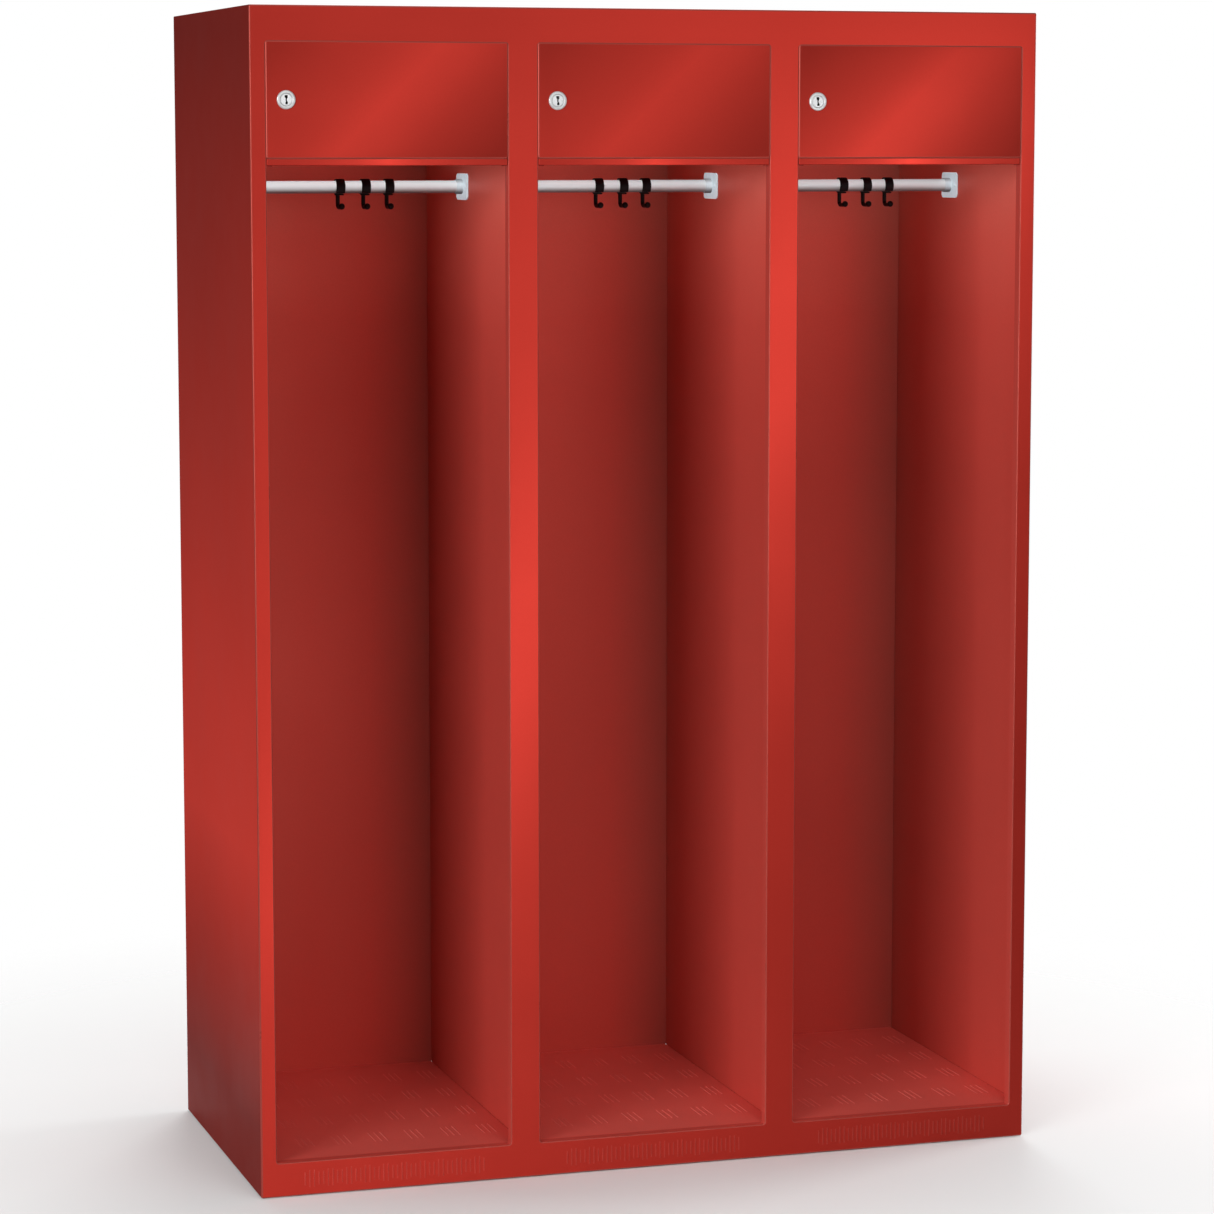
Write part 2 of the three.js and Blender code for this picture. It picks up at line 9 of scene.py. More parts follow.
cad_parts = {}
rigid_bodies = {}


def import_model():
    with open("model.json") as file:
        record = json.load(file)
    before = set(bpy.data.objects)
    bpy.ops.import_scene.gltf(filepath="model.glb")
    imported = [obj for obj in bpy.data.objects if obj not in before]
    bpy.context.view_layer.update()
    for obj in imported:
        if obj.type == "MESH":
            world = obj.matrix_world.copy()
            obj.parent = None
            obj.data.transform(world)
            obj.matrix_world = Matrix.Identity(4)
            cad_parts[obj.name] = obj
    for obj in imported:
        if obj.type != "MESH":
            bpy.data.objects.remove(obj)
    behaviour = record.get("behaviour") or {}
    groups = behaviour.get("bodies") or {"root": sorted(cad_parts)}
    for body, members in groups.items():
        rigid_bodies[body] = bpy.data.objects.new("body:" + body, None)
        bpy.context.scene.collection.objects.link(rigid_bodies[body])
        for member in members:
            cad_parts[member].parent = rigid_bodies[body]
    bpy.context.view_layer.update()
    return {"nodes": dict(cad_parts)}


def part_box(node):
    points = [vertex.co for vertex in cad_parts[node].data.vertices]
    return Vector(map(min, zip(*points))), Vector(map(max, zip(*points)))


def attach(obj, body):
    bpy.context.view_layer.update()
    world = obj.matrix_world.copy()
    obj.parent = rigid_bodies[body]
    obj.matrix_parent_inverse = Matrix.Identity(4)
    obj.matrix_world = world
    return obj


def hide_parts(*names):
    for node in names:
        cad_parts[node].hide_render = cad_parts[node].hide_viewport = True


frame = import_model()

# Three-bay cloakroom locker in powder-coated sheet steel. Metres, doors facing -Y, +Z up.
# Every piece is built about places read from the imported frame.

MM = 0.001
SAME_POINT = 1e-7  # points closer than this are merged
MOST_FINISHES = 4  # material slots that any one piece needs
BAYS = ("left", "middle", "right")

# ---- Places, from the frame --------------------------------------------------------------------------


def low(node):
    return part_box(node)[0]


def high(node):
    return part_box(node)[1]


STOP_LIP = 9 * MM  # how far the lip that the doors close against hangs below the header's face
FLOOR_LIFT = 1.1 * MM  # how far the floors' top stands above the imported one

SIDE = high("right_side_panel").x
FRONT = low("header_rail").y
BACK = high("back_panel").y
TOP = high("roof_panel").z
FOOT = low("plinth_rail").z
HEADER_Z = low("header_rail").z + STOP_LIP
PLINTH_Z = high("plinth_rail").z
BAY_X = [(low(f"{bay}_shelf").x + high(f"{bay}_shelf").x) / 2 for bay in BAYS]
SHELF_Z = high("left_shelf").z
FLOOR_Z = high("left_floor").z + FLOOR_LIFT
OPENING = low("left_middle_stile").x - high("left_end_stile").x
BAY_INNER = (high("left_shelf").x - low("left_shelf").x) / 2
WALL = 1 * MM
SEAM = 0.3 * MM


# ---- Outlines and meshes -----------------------------------------------------------------------------


def outline(corners, radius, steps=5):
    """A closed counter-clockwise outline whose right-angled corners are rounded.

    It is a function of how far the outline has grown.
    """
    corners = [Vector(c) for c in corners]

    def grown(by=0.0):
        points = []
        for i, corner in enumerate(corners):
            into = (corner - corners[i - 1]).normalized()
            out = (corners[(i + 1) % len(corners)] - corner).normalized()
            left_in, left_out = Vector((-into.y, into.x)), Vector((-out.y, out.x))
            sign = 1 if into.x * out.y - into.y * out.x > 0 else -1
            centre = corner + sign * radius * (left_in + left_out)
            start = math.atan2(-sign * left_in.y, -sign * left_in.x)
            for k in range(steps + 1):
                a = start + sign * math.pi / 2 * k / steps
                points.append(centre + (radius + sign * by) * Vector((math.cos(a), math.sin(a))))
        return points

    return grown


def rectangle(u0, u1, v0, v1, radius, steps=5):
    return outline([(u0, v0), (u1, v0), (u1, v1), (u0, v1)], radius, steps)


def circle(u, v, radius, steps=48):
    def grown(by=0.0):
        turns = [2 * math.pi * k / steps for k in range(steps)]
        return [Vector((u + (radius + by) * math.cos(a), v + (radius + by) * math.sin(a))) for a in turns]

    return grown


def bend(radius, steps=4):
    """(inset, depth) from the flat face round a fold to the start of its return."""
    turns = [math.pi / 2 * k / steps for k in range(steps + 1)]
    return [(radius * (1 - math.sin(a)), radius * (1 - math.cos(a))) for a in turns]


def folded(radius, depth, hem=0.0):
    """The profile of an edge: round the fold, back by depth, and in again by hem."""
    profile = bend(radius)
    if not hem:
        return profile + [(0.0, depth)]
    back = [(inset, depth - deep) for inset, deep in reversed(profile)]
    return profile + back + [(hem, depth)]


class Skin:
    """Points and faces of one surface. place turns (u, v, depth) into a point of the row frame."""

    def __init__(self, place):
        self.place = place
        self.flat, self.points, self.faces, self.finish = [], [], [], {}

    def ring(self, flat, depth):
        start = len(self.points)
        self.flat += [Vector(p) for p in flat]
        self.points += [self.place(p[0], p[1], depth) for p in flat]
        return list(range(start, len(self.points)))

    def band(self, a, b, finish=0):
        for i in range(len(a)):
            j = (i + 1) % len(a)
            self.finish[len(self.faces)] = finish
            self.faces.append((a[i], a[j], b[j], b[i]))

    def rings(self, shape, profile, sign, edge=0, finish=1, rest=0):
        """Rings along an edge's profile. Returns the first ring, which borders the flat face.

        The first bands, as many as edge says, have the given finish, and the others have rest.
        """
        made = [self.ring(shape(sign * inset), depth) for inset, depth in profile]
        for k, (a, b) in enumerate(zip(made, made[1:])):
            self.band(a, b, finish if k < edge else rest)
        return made[0]

    def fill(self, outer, holes=(), inner=()):
        """The flat face inside the outer ring, round the holes, through the inner points."""
        loops = [outer, *holes]
        used = [i for loop in loops for i in loop] + list(inner)
        number = {i: k for k, i in enumerate(used)}
        flat = [self.flat[i] for i in used]
        loops = [[number[i] for i in loop] for loop in loops]
        _, _, faces, origins, _, inside = delaunay_2d_cdt(flat, [], loops, 1, 1e-9, True)
        for face, within in zip(faces, inside):
            if list(within) == [0]:
                self.faces.append(tuple(used[origins[v][0]] for v in face))

    def mesh(self):
        """The surface as a mesh whose largest flat face looks out, against the depth direction."""
        bm = bmesh.new()
        verts = [bm.verts.new(p) for p in self.points]
        for number, face in enumerate(self.faces):
            made = bm.faces.new([verts[i] for i in face])
            made.material_index = self.finish.get(number, 0)
        bmesh.ops.remove_doubles(bm, verts=bm.verts, dist=SAME_POINT)
        bmesh.ops.recalc_face_normals(bm, faces=bm.faces)
        inward = Vector(self.place(0, 0, 1)) - Vector(self.place(0, 0, 0))
        widest = max(bm.faces, key=lambda f: abs(f.normal.dot(inward)) * f.calc_area())
        if widest.normal.dot(inward) > 0:
            bmesh.ops.reverse_faces(bm, faces=bm.faces)
        mesh = bpy.data.meshes.new("skin")
        bm.to_mesh(mesh)
        bm.free()
        return mesh


def baked(mesh, *modifiers):
    """The mesh with modifiers applied. Each is (type, {setting: value})."""
    holder = bpy.data.objects.new("holder", mesh)
    for _ in range(MOST_FINISHES):
        holder.data.materials.append(None)
    bpy.context.scene.collection.objects.link(holder)
    for kind, settings in modifiers:
        modifier = holder.modifiers.new(kind.lower(), kind)
        for key, value in settings.items():
            setattr(modifier, key, value)
    graph = bpy.context.evaluated_depsgraph_get()
    result = bpy.data.meshes.new_from_object(holder.evaluated_get(graph), depsgraph=graph)
    bpy.data.objects.remove(holder)
    return result


def edged(width, angle=40, segments=2):
    """Rounds sharp edges and gives the new faces the piece's second material, which paints a highlight
    along them.
    """
    return (
        "BEVEL",
        {
            "width": width,
            "segments": segments,
            "limit_method": "ANGLE",
            "angle_limit": math.radians(angle),
            "material": 1,
            "use_clamp_overlap": True,
        },
    )


def thick(amount, inner=0):
    """Gives a surface its thickness. Its inner faces' material comes inner places after the outer."""
    settings = {"thickness": amount, "offset": -1, "use_even_offset": True, "material_offset": inner}
    return ("SOLIDIFY", settings)


def sheet(skin, thickness=WALL, edge=0.22 * MM, inner=0):
    """The surface made in sheet metal, with eased edges."""
    return baked(skin.mesh(), thick(thickness, inner), edged(edge))


def finished(mesh, number):
    """The mesh with every face in one of its piece's materials."""
    for polygon in mesh.polygons:
        polygon.material_index = number
    return mesh


def piece(name, meshes, materials, body, replaces=(), place=None, smooth=35):
    """One named object from several meshes, shaded smooth but for its sharp edges, riding on a body."""
    bm = bmesh.new()
    for mesh in meshes:
        bm.from_mesh(mesh)
    mesh = bpy.data.meshes.new(name)
    bm.to_mesh(mesh)
    bm.free()
    for material in materials:
        mesh.materials.append(material)
    mesh.polygons.foreach_set("use_smooth", [True] * len(mesh.polygons))
    mesh.set_sharp_from_angle(angle=math.radians(smooth))
    obj = bpy.data.objects.new(name, mesh)
    if place is not None:
        obj.location = place
    bpy.context.scene.collection.objects.link(obj)
    modifier = obj.modifiers.new("normals", "WEIGHTED_NORMAL")
    modifier.keep_sharp = True
    if replaces:
        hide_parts(*replaces)
    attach(obj, body)
    return obj


def slab(place, shape, depth, edge, holes=()):
    """A plate from depth 0 to depth, cut out along an outline and round its holes, with eased edges."""
    skin = Skin(place)
    ease = [(edge * (1 - math.sin(a)), edge * (1 - math.cos(a))) for a in (0, math.pi / 4, math.pi / 2)]
    profile = ease + [(inset, depth - deep) for inset, deep in reversed(ease)]
    front, back = [], []
    for form, sign in [(shape, -1), *((hole, 1) for hole in holes)]:
        made = [skin.ring(form(sign * inset), deep) for inset, deep in profile]
        for a, b in zip(made, made[1:]):
            skin.band(a, b)
        front.append(made[0])
        back.append(made[-1])
    skin.fill(front[0], front[1:])
    skin.fill(back[0], back[1:])
    return closed(skin)


def closed(skin):
    """The mesh of a closed surface, with its faces pointing outwards."""
    bm = bmesh.new()
    verts = [bm.verts.new(p) for p in skin.points]
    for face in skin.faces:
        bm.faces.new([verts[i] for i in face])
    bmesh.ops.remove_doubles(bm, verts=bm.verts, dist=SAME_POINT)
    bmesh.ops.recalc_face_normals(bm, faces=bm.faces)
    if bm.calc_volume(signed=True) < 0:
        bmesh.ops.reverse_faces(bm, faces=bm.faces)
    mesh = bpy.data.meshes.new("closed")
    bm.to_mesh(mesh)
    bm.free()
    return mesh


def turned(place, profile, steps=48):
    """A closed round piece from (radius, depth) points. A point at radius 0 closes an end."""
    skin = Skin(place)
    rings = []
    for radius, depth in profile:
        rings.append(skin.ring(circle(0, 0, radius, steps)() if radius else [(0, 0)], depth))
    for a, b in zip(rings, rings[1:]):
        if len(a) == len(b):
            skin.band(a, b)
            continue
        centre, rim = (a, b) if len(a) == 1 else (b, a)
        for k in range(steps):
            skin.faces.append((centre[0], rim[k], rim[(k + 1) % steps]))
    return closed(skin)


def eased(points, by, steps=3):
    """An open polyline with its inner corners rounded by a radius, as (radius, depth) points."""
    result = [points[0]]
    for before, corner, after in zip(points, points[1:], points[2:]):
        p, c, n = Vector(before), Vector(corner), Vector(after)
        room = min((c - p).length, (n - c).length) * 0.45
        cut = min(by, room)
        a, b = c + (p - c).normalized() * cut, c + (n - c).normalized() * cut
        for k in range(steps + 1):
            t = k / steps
            q = a.lerp(c, t).lerp(c.lerp(b, t), t)
            result.append((q.x, q.y))
    result.append(points[-1])
    return result


# Each of these places (u, v, depth): the surface lies at depth 0 and looks the way its name says.


def facing_front(x=0.0, y=0.0, z=0.0):
    return lambda u, v, depth: (x + u, y + depth, z + v)


def facing_up(x=0.0, y=0.0, z=0.0):
    return lambda u, v, depth: (x + u, y + v, z - depth)


def facing_down(x=0.0, y=0.0, z=0.0):
    return lambda u, v, depth: (x + u, y + v, z + depth)


def facing_side(x, sign, y=0.0, z=0.0):
    """The face looks along sign * X."""
    return lambda u, v, depth: (x - sign * depth, y + u, z + v)


def facing_rear(x=0.0, y=0.0, z=0.0):
    return lambda u, v, depth: (x + u, y - depth, z + v)


def along_x(x, y, z, sign=1):
    """Depth runs along sign * X."""
    return lambda u, v, depth: (x + sign * depth, y + u, z + v)


def in_mm(profile):
    """(radius, depth) points in millimetres, as points in metres."""
    return [(radius * MM, depth * MM) for radius, depth in profile]


# ---- Materials ---------------------------------------------------------------------------------------


def shader(name):
    material = bpy.data.materials.new(name)
    material.use_nodes = True
    nodes, links = material.node_tree.nodes, material.node_tree.links
    nodes.clear()
    output = nodes.new("ShaderNodeOutputMaterial")
    principled = nodes.new("ShaderNodeBsdfPrincipled")
    links.new(principled.outputs[0], output.inputs[0])
    coordinates = nodes.new("ShaderNodeTexCoord")
    return material, nodes, links, principled, coordinates.outputs["Object"]


def noise(nodes, links, where, scale, detail=2.0, roughness=0.5, stretch=None):
    """The value of a noise texture, with cells per metre, stretched along the axes if asked."""
    if stretch is not None:
        mapping = nodes.new("ShaderNodeMapping")
        mapping.inputs["Scale"].default_value = stretch
        links.new(where, mapping.inputs["Vector"])
        where = mapping.outputs[0]
    texture = nodes.new("ShaderNodeTexNoise")
    texture.inputs["Scale"].default_value = scale
    texture.inputs["Detail"].default_value = detail
    texture.inputs["Roughness"].default_value = roughness
    links.new(where, texture.inputs["Vector"])
    return texture.outputs[0]


def ramp(nodes, links, value, stops):
    """A colour ramp through (position, colour) stops."""
    made = nodes.new("ShaderNodeValToRGB")
    elements = made.color_ramp.elements
    while len(elements) < len(stops):
        elements.new(0.5)
    for element, (position, colour) in zip(elements, stops):
        element.position = position
        element.color = (*colour, 1)
    links.new(value, made.inputs[0])
    return made.outputs[0]


def remapped(nodes, links, value, low_in, high_in, low_out, high_out):
    made = nodes.new("ShaderNodeMapRange")
    ends = {"From Min": low_in, "From Max": high_in, "To Min": low_out, "To Max": high_out}
    for key, number in ends.items():
        made.inputs[key].default_value = number
    links.new(value, made.inputs["Value"])
    return made.outputs[0]


def tinted(nodes, links, colour, factor, dark, light):
    """The colour times a grey that runs from dark to light with the factor."""
    grey = remapped(nodes, links, factor, 0.0, 1.0, dark, light)
    made = nodes.new("ShaderNodeVectorMath")
    made.operation = "SCALE"
    links.new(colour, made.inputs[0])
    links.new(grey, made.inputs["Scale"])
    return made.outputs[0]


def bumped(nodes, links, principled, height, distance, strength=1.0):
    made = nodes.new("ShaderNodeBump")
    made.inputs["Strength"].default_value = strength
    made.inputs["Distance"].default_value = distance
    links.new(height, made.inputs["Height"])
    links.new(made.outputs[0], principled.inputs["Normal"])


# Paints light and shade into a colour along a direction.
def drift(nodes, links, where, colour, band):
    """The colour times levels laid evenly from start to end of a direction in the row frame."""
    along, start, end, levels = band
    dot = nodes.new("ShaderNodeVectorMath")
    dot.operation = "DOT_PRODUCT"
    dot.inputs[1].default_value = along
    links.new(where, dot.inputs[0])
    return levelled(nodes, links, dot.outputs["Value"], colour, start, end, levels)


BRIGHTEST = 3.0  # the highest level a ramp can hold


def levelled(nodes, links, value, colour, start, end, levels):
    """The colour times levels laid evenly from start to end of a value. A level may be tinted."""
    across = remapped(nodes, links, value, start, end, 0.0, 1.0)
    tints = [tint if isinstance(tint, tuple) else (tint,) * 3 for tint in levels]
    last = len(levels) - 1
    stops = [(k / last, [share / BRIGHTEST for share in tint]) for k, tint in enumerate(tints)]
    level = nodes.new("ShaderNodeVectorMath")
    level.operation = "SCALE"
    level.inputs["Scale"].default_value = BRIGHTEST
    links.new(ramp(nodes, links, across, stops), level.inputs[0])
    made = nodes.new("ShaderNodeVectorMath")
    made.operation = "MULTIPLY"
    links.new(colour, made.inputs[0])
    links.new(level.outputs[0], made.inputs[1])
    return made.outputs[0]


# Paints shade by each bay's upright walls and light towards the bay's middle.
def painted_from_walls(nodes, links, where, colour, levels):
    """The colour times levels from each upright wall of a bay to the bay's middle."""
    apart = nodes.new("ShaderNodeSeparateXYZ")
    links.new(where, apart.inputs[0])
    shifted = nodes.new("ShaderNodeMath")
    shifted.inputs[1].default_value = SIDE
    links.new(apart.outputs["X"], shifted.inputs[0])
    nearest = nodes.new("ShaderNodeMath")
    nearest.operation = "PINGPONG"
    nearest.inputs[1].default_value = SIDE / 3
    links.new(shifted.outputs[0], nearest.inputs[0])
    return levelled(nodes, links, nearest.outputs[0], colour, 0.0, SIDE / 3, levels)


RED = (0.47, 0.033, 0.0225)
# A paler coat for the eased edges: a painted highlight along them.
RED_PAINTED_EDGE_HIGHLIGHT = (0.38, 0.066, 0.052)
# A lighter copy of the coat for the bays' inner walls and back: painted light.
RED_PAINTED_LIGHTER_INSIDE = (0.60, 0.080, 0.060)


def powder_coat(name, red=RED, roughness=0.34, metallic=0.3, bands=(), corners=None, gloss_level=0.12):
    """Satin powder coat over sheet steel: orange peel, a faint cloud in its tone, light and shade painted
    in by bands and corners, and a slow drift of gloss.
    """
    material, nodes, links, principled, where = shader(name)
    cloud = noise(nodes, links, where, 2.3, 3.0)
    colour = ramp(nodes, links, cloud, [(0.25, [c * 0.95 for c in red]), (0.75, [c * 1.05 for c in red])])
    # The bands and the corner levels paint light and shade into the coat's colour.
    for band in bands:
        colour = drift(nodes, links, where, colour, band)
    if corners:
        colour = painted_from_walls(nodes, links, where, colour, corners)
    speck = noise(nodes, links, where, 420.0, 2.0)
    colour = tinted(nodes, links, colour, speck, 0.96, 1.04)
    links.new(colour, principled.inputs["Base Color"])
    gloss = noise(nodes, links, where, 9.0, 4.0)
    links.new(
        remapped(nodes, links, gloss, 0.3, 0.7, roughness - 0.035, roughness + 0.035),
        principled.inputs["Roughness"],
    )
    principled.inputs["Metallic"].default_value = metallic
    principled.inputs["Specular IOR Level"].default_value = gloss_level
    principled.inputs["Specular Tint"].default_value = (1.0, 0.3, 0.25, 1)
    peel = noise(nodes, links, where, 520.0, 2.0, 0.45)
    bumped(nodes, links, principled, peel, 0.00004, 0.5)
    return material


def metal(name, dark, light, roughness, metallic=1.0, scale=60.0, stretch=None, peel=0.00002, bands=()):
    """Plated or bare metal: a fine grain in its colour and its gloss, and light and shade painted in by any
    bands.
    """
    material, nodes, links, principled, where = shader(name)
    grain = noise(nodes, links, where, scale, 3.0, 0.6, stretch)
    colour = ramp(nodes, links, grain, [(0.3, dark), (0.7, light)])
    # The bands paint light and shade into the metal's colour.
    for band in bands:
        colour = drift(nodes, links, where, colour, band)
    links.new(colour, principled.inputs["Base Color"])
    gloss = noise(nodes, links, where, scale * 2.3, 2.0, 0.5, stretch)
    links.new(
        remapped(nodes, links, gloss, 0.25, 0.75, roughness * 0.85, roughness * 1.2),
        principled.inputs["Roughness"],
    )
    principled.inputs["Metallic"].default_value = metallic
    bumped(nodes, links, principled, grain, peel, 0.6)
    return material


def moulded(name, dark, light, roughness, scale=900.0):
    """Moulded plastic or rubber with a fine grain."""
    material, nodes, links, principled, where = shader(name)
    grain = noise(nodes, links, where, scale, 2.0)
    wide = noise(nodes, links, where, 35.0, 2.0)
    links.new(ramp(nodes, links, wide, [(0.3, dark), (0.7, light)]), principled.inputs["Base Color"])
    links.new(
        remapped(nodes, links, grain, 0.25, 0.75, roughness - 0.05, roughness + 0.05),
        principled.inputs["Roughness"],
    )
    principled.inputs["Specular IOR Level"].default_value = 0.2
    bumped(nodes, links, principled, grain, 0.00003, 0.5)
    return material


# Painted light and shade in the coats: a direction, the start and end along it in metres, and the levels
# between.
INWARD, UPWARD = (0.0, 1.0, 0.0), (0.0, 0.0, 1.0)
# Painted highlight: a broad diagonal band lighter across the front frame, darker towards its top left and
# bottom right corners.
FRAME_PAINTED_HIGHLIGHT = (
    (0.766, 0.0, -0.643), -1.54, 0.44,
    (0.85, 0.95, 1.07, 1.25, 1.3, 1.35, 1.29, 1.12, 0.95, 0.84, 0.75, 0.73, 0.63),
)
# Painted light on the sides: lightest a little above the foot, darker towards the top and at the foot.
SIDE_PAINTED_LIGHT = ((0.0, 0.035, -0.999), -1.69, -0.11, (0.47, 0.66, 0.83, 1.03, 1.24, 1.47, 1.56, 0.98, 0.46))
# Painted shade on the inner walls: their red a little darker and greyer towards the back.
WALL_PAINTED_SHADE = (
    INWARD, -0.27, 0.275,
    ((1.06, 0.95, 0.95), 1.04, 1.0, (1.02, 1.15, 1.15), (1.0, 1.4, 1.4), (0.9, 1.7, 1.7)),
)
# Painted light just under the shelves, where the shelf shades the walls: lighter and greyer towards the
# top.
UNDER_SHELF_PAINTED_LIGHT = (UPWARD, 1.0, 1.5, (1.0, 1.06, (1.18, 1.25, 1.25), (1.4, 1.8, 1.8), (1.6, 2.8, 2.8)))
# Painted highlight on each door: a diagonal band of levels, reaching this far either side of the door's
# middle.
DOOR_HIGHLIGHT_DIAGONAL = (0.7, 0.0, -0.714)
DOOR_HIGHLIGHT_LEVELS = (0.69, 0.83, 0.95, 1.08, 1.3, 1.16, 0.93, 0.75, 0.6)
DOOR_HIGHLIGHT_REACH = 0.165
# Painted light and shade on the shelf lips: darker by the bay walls, lighter in the middle.
LIP_PAINTED_LIGHT = (0.78, 0.9, 1.05, 1.3, 1.9)
# Painted shade on the back: darker in the corners by the bay walls.
BACK_PAINTED_CORNER_SHADE = ((0.74, 1.0, 1.0), (0.88, 1.05, 1.05), 1.0, 1.0, (1.0, 0.95, 0.95))

RAIL_LOW, RAIL_HIGH = low("left_clothes_rail").z, high("left_clothes_rail").z
RAIL_Z = (RAIL_LOW + RAIL_HIGH) / 2
COLLAR_RADIUS = 11.2 * MM
# Painted shade on the rail: darker on its underside.
RAIL_PAINTED_SHADE = (UPWARD, RAIL_LOW, RAIL_HIGH, (0.3, 0.42, 0.68, 0.9, 1.0, 1.05, 1.0, 0.92))
# Painted shade on the collar: darker above and below the rail, lighter across its middle.
COLLAR_PAINTED_SHADE = (
    UPWARD, RAIL_Z - COLLAR_RADIUS, RAIL_Z + COLLAR_RADIUS,
    (0.25, 0.4, 0.8, 1.25, 1.35, 1.25, 0.8, 0.45),
)

red_frame_painted_highlight = powder_coat("powder_coat_frame_painted_highlight", bands=[FRAME_PAINTED_HIGHLIGHT])
red_side_painted_light = powder_coat("powder_coat_side_painted_light", RED, 0.45, 0.0, [SIDE_PAINTED_LIGHT], None, 0.03)
red_roof = powder_coat("powder_coat_roof")
red_lip_painted_light = powder_coat("powder_coat_shelf_painted_light", corners=LIP_PAINTED_LIGHT)
red_edge_highlight = powder_coat("powder_coat_edge_painted_highlight", RED_PAINTED_EDGE_HIGHLIGHT, 0.3)
red_inside_painted_light = powder_coat("powder_coat_inside_painted_light", RED_PAINTED_LIGHTER_INSIDE, 0.42, 0.2, [WALL_PAINTED_SHADE, UNDER_SHELF_PAINTED_LIGHT])
red_back_painted_light_and_shade = powder_coat("powder_coat_back_painted_light_and_shade", RED_PAINTED_LIGHTER_INSIDE, 0.42, 0.2, [UNDER_SHELF_PAINTED_LIGHT], BACK_PAINTED_CORNER_SHADE)
# The floors' coat is a lighter copy of the red: painted light.
red_floor_painted_light = powder_coat("powder_coat_floor_painted_light", (0.80, 0.145, 0.115), 0.42, 0.2)
# The vent rims' coat is lighter than the frame's and takes its painted band: painted highlight lines.
red_vent_highlight = powder_coat("powder_coat_vent_rim_painted_highlight", (0.53, 0.056, 0.042), 0.34, 0.2, [FRAME_PAINTED_HIGHLIGHT])
# The openings' returns take a lighter copy of the red: painted light.
red_return_painted_light = powder_coat("powder_coat_return_painted_light", (0.62, 0.085, 0.065), 0.4, 0.2)
# The slot rims' coat is much lighter: painted highlight lines along the slots.
red_slot_highlight = powder_coat("powder_coat_slot_rim_painted_highlight", (0.90, 0.215, 0.175), 0.42, 0.1)
rail_finish_painted_shade = metal(
    "bright_rail_painted_shade", (0.68, 0.77, 0.79), (0.76, 0.85, 0.87), 0.3, 0.1, 40.0, (0.05, 1.0, 1.0),
    bands=[RAIL_PAINTED_SHADE],
)
bracket_finish = metal("zinc_bracket", (0.54, 0.68, 0.74), (0.62, 0.76, 0.82), 0.5, 0.0, 90.0)
# The collar is darker than the plate, with painted shade above and below the rail.
collar_painted_shade = metal(
    "zinc_collar_painted_shade", (0.44, 0.51, 0.54), (0.52, 0.59, 0.62), 0.45, 0.1, 90.0, bands=[COLLAR_PAINTED_SHADE]
)
hook_finish = moulded("black_plastic", (0.003, 0.003, 0.004), (0.005, 0.005, 0.006), 0.55)
rubber_finish = moulded("grey_rubber", (0.02, 0.02, 0.02), (0.035, 0.035, 0.035), 0.7)
nickel = metal("satin_nickel", (0.66, 0.66, 0.66), (0.76, 0.76, 0.76), 0.34, 0.45, 300.0)
nickel_bright = metal("bright_nickel", (0.76, 0.77, 0.78), (0.86, 0.87, 0.88), 0.3, 0.35, 300.0)
steel = metal("plain_steel", (0.42, 0.42, 0.42), (0.55, 0.55, 0.55), 0.36, 1.0, 200.0)
# Near black inside the keyway: painted shade.
painted_keyway_shade = moulded("keyway_painted_shade", (0.004, 0.004, 0.004), (0.008, 0.008, 0.008), 0.6)


def door_coat(bay, x):
    """Each door's coat, a little darker than the frame's, carries a painted highlight band along its own
    diagonal.
    """
    across, _, up = DOOR_HIGHLIGHT_DIAGONAL
    middle = across * x + up * (SHELF_Z + HEADER_Z) / 2
    band = (DOOR_HIGHLIGHT_DIAGONAL, middle - DOOR_HIGHLIGHT_REACH, middle + DOOR_HIGHLIGHT_REACH, DOOR_HIGHLIGHT_LEVELS)
    return powder_coat(f"powder_coat_{bay}_door", [c * 0.93 for c in RED], 0.33, 0.35, [band])


# ---- Carcass -----------------------------------------------------------------------------------------

HALF_OPENING = OPENING / 2
FACE_RETURN = 4 * MM
OPENING_RETURN = 16 * MM
STOP_DEPTH = 17 * MM  # from the front face to the stop lip
SHELL_FRONT = FRONT + FACE_RETURN + SEAM
SHELL_RETURN = 14 * MM
OPENING_PITCH = BAY_X[1] - BAY_X[0]
RIVETS, RIVET_INSET = 9, 9 * MM
FIRST_RIVET, LAST_RIVET = 60 * MM, TOP - 50 * MM
CROSS_RIVET_PITCH = 100 * MM

VENTS = 40
VENT_PITCH = 6.95 * MM
VENT_HALF = 0.12 * MM
VENT_SHORT = 18.5 * MM
VENT_LONG = 25 * MM
SLOT_HALF = 0.1 * MM
SLOT_LENGTH = 50 * MM
SLOT_ROWS, FIRST_SLOT_ROW, SLOT_ROW_PITCH = 4, 105, 117  # millimetres from the front face
SLOT_COLUMNS, SLOT_COLUMN_PITCH = 7, 56
SLOTS_PER_GROUP, SLOT_PITCH = 3, 9.3
SLIT_PROFILE = in_mm([(0.95, 0), (0.5, -0.3), (0.15, -0.35), (0, -0.1), (0, 0.8)])


def slit(skin, u, v, half_width, half_length, finish):
    """A narrow upright opening with a raised rim."""
    radius = half_width * 0.98
    shape = rectangle(u - half_width, u + half_width, v - half_length, v + half_length, radius, 3)
    return skin.rings(shape, SLIT_PROFILE, 1, 3, finish)


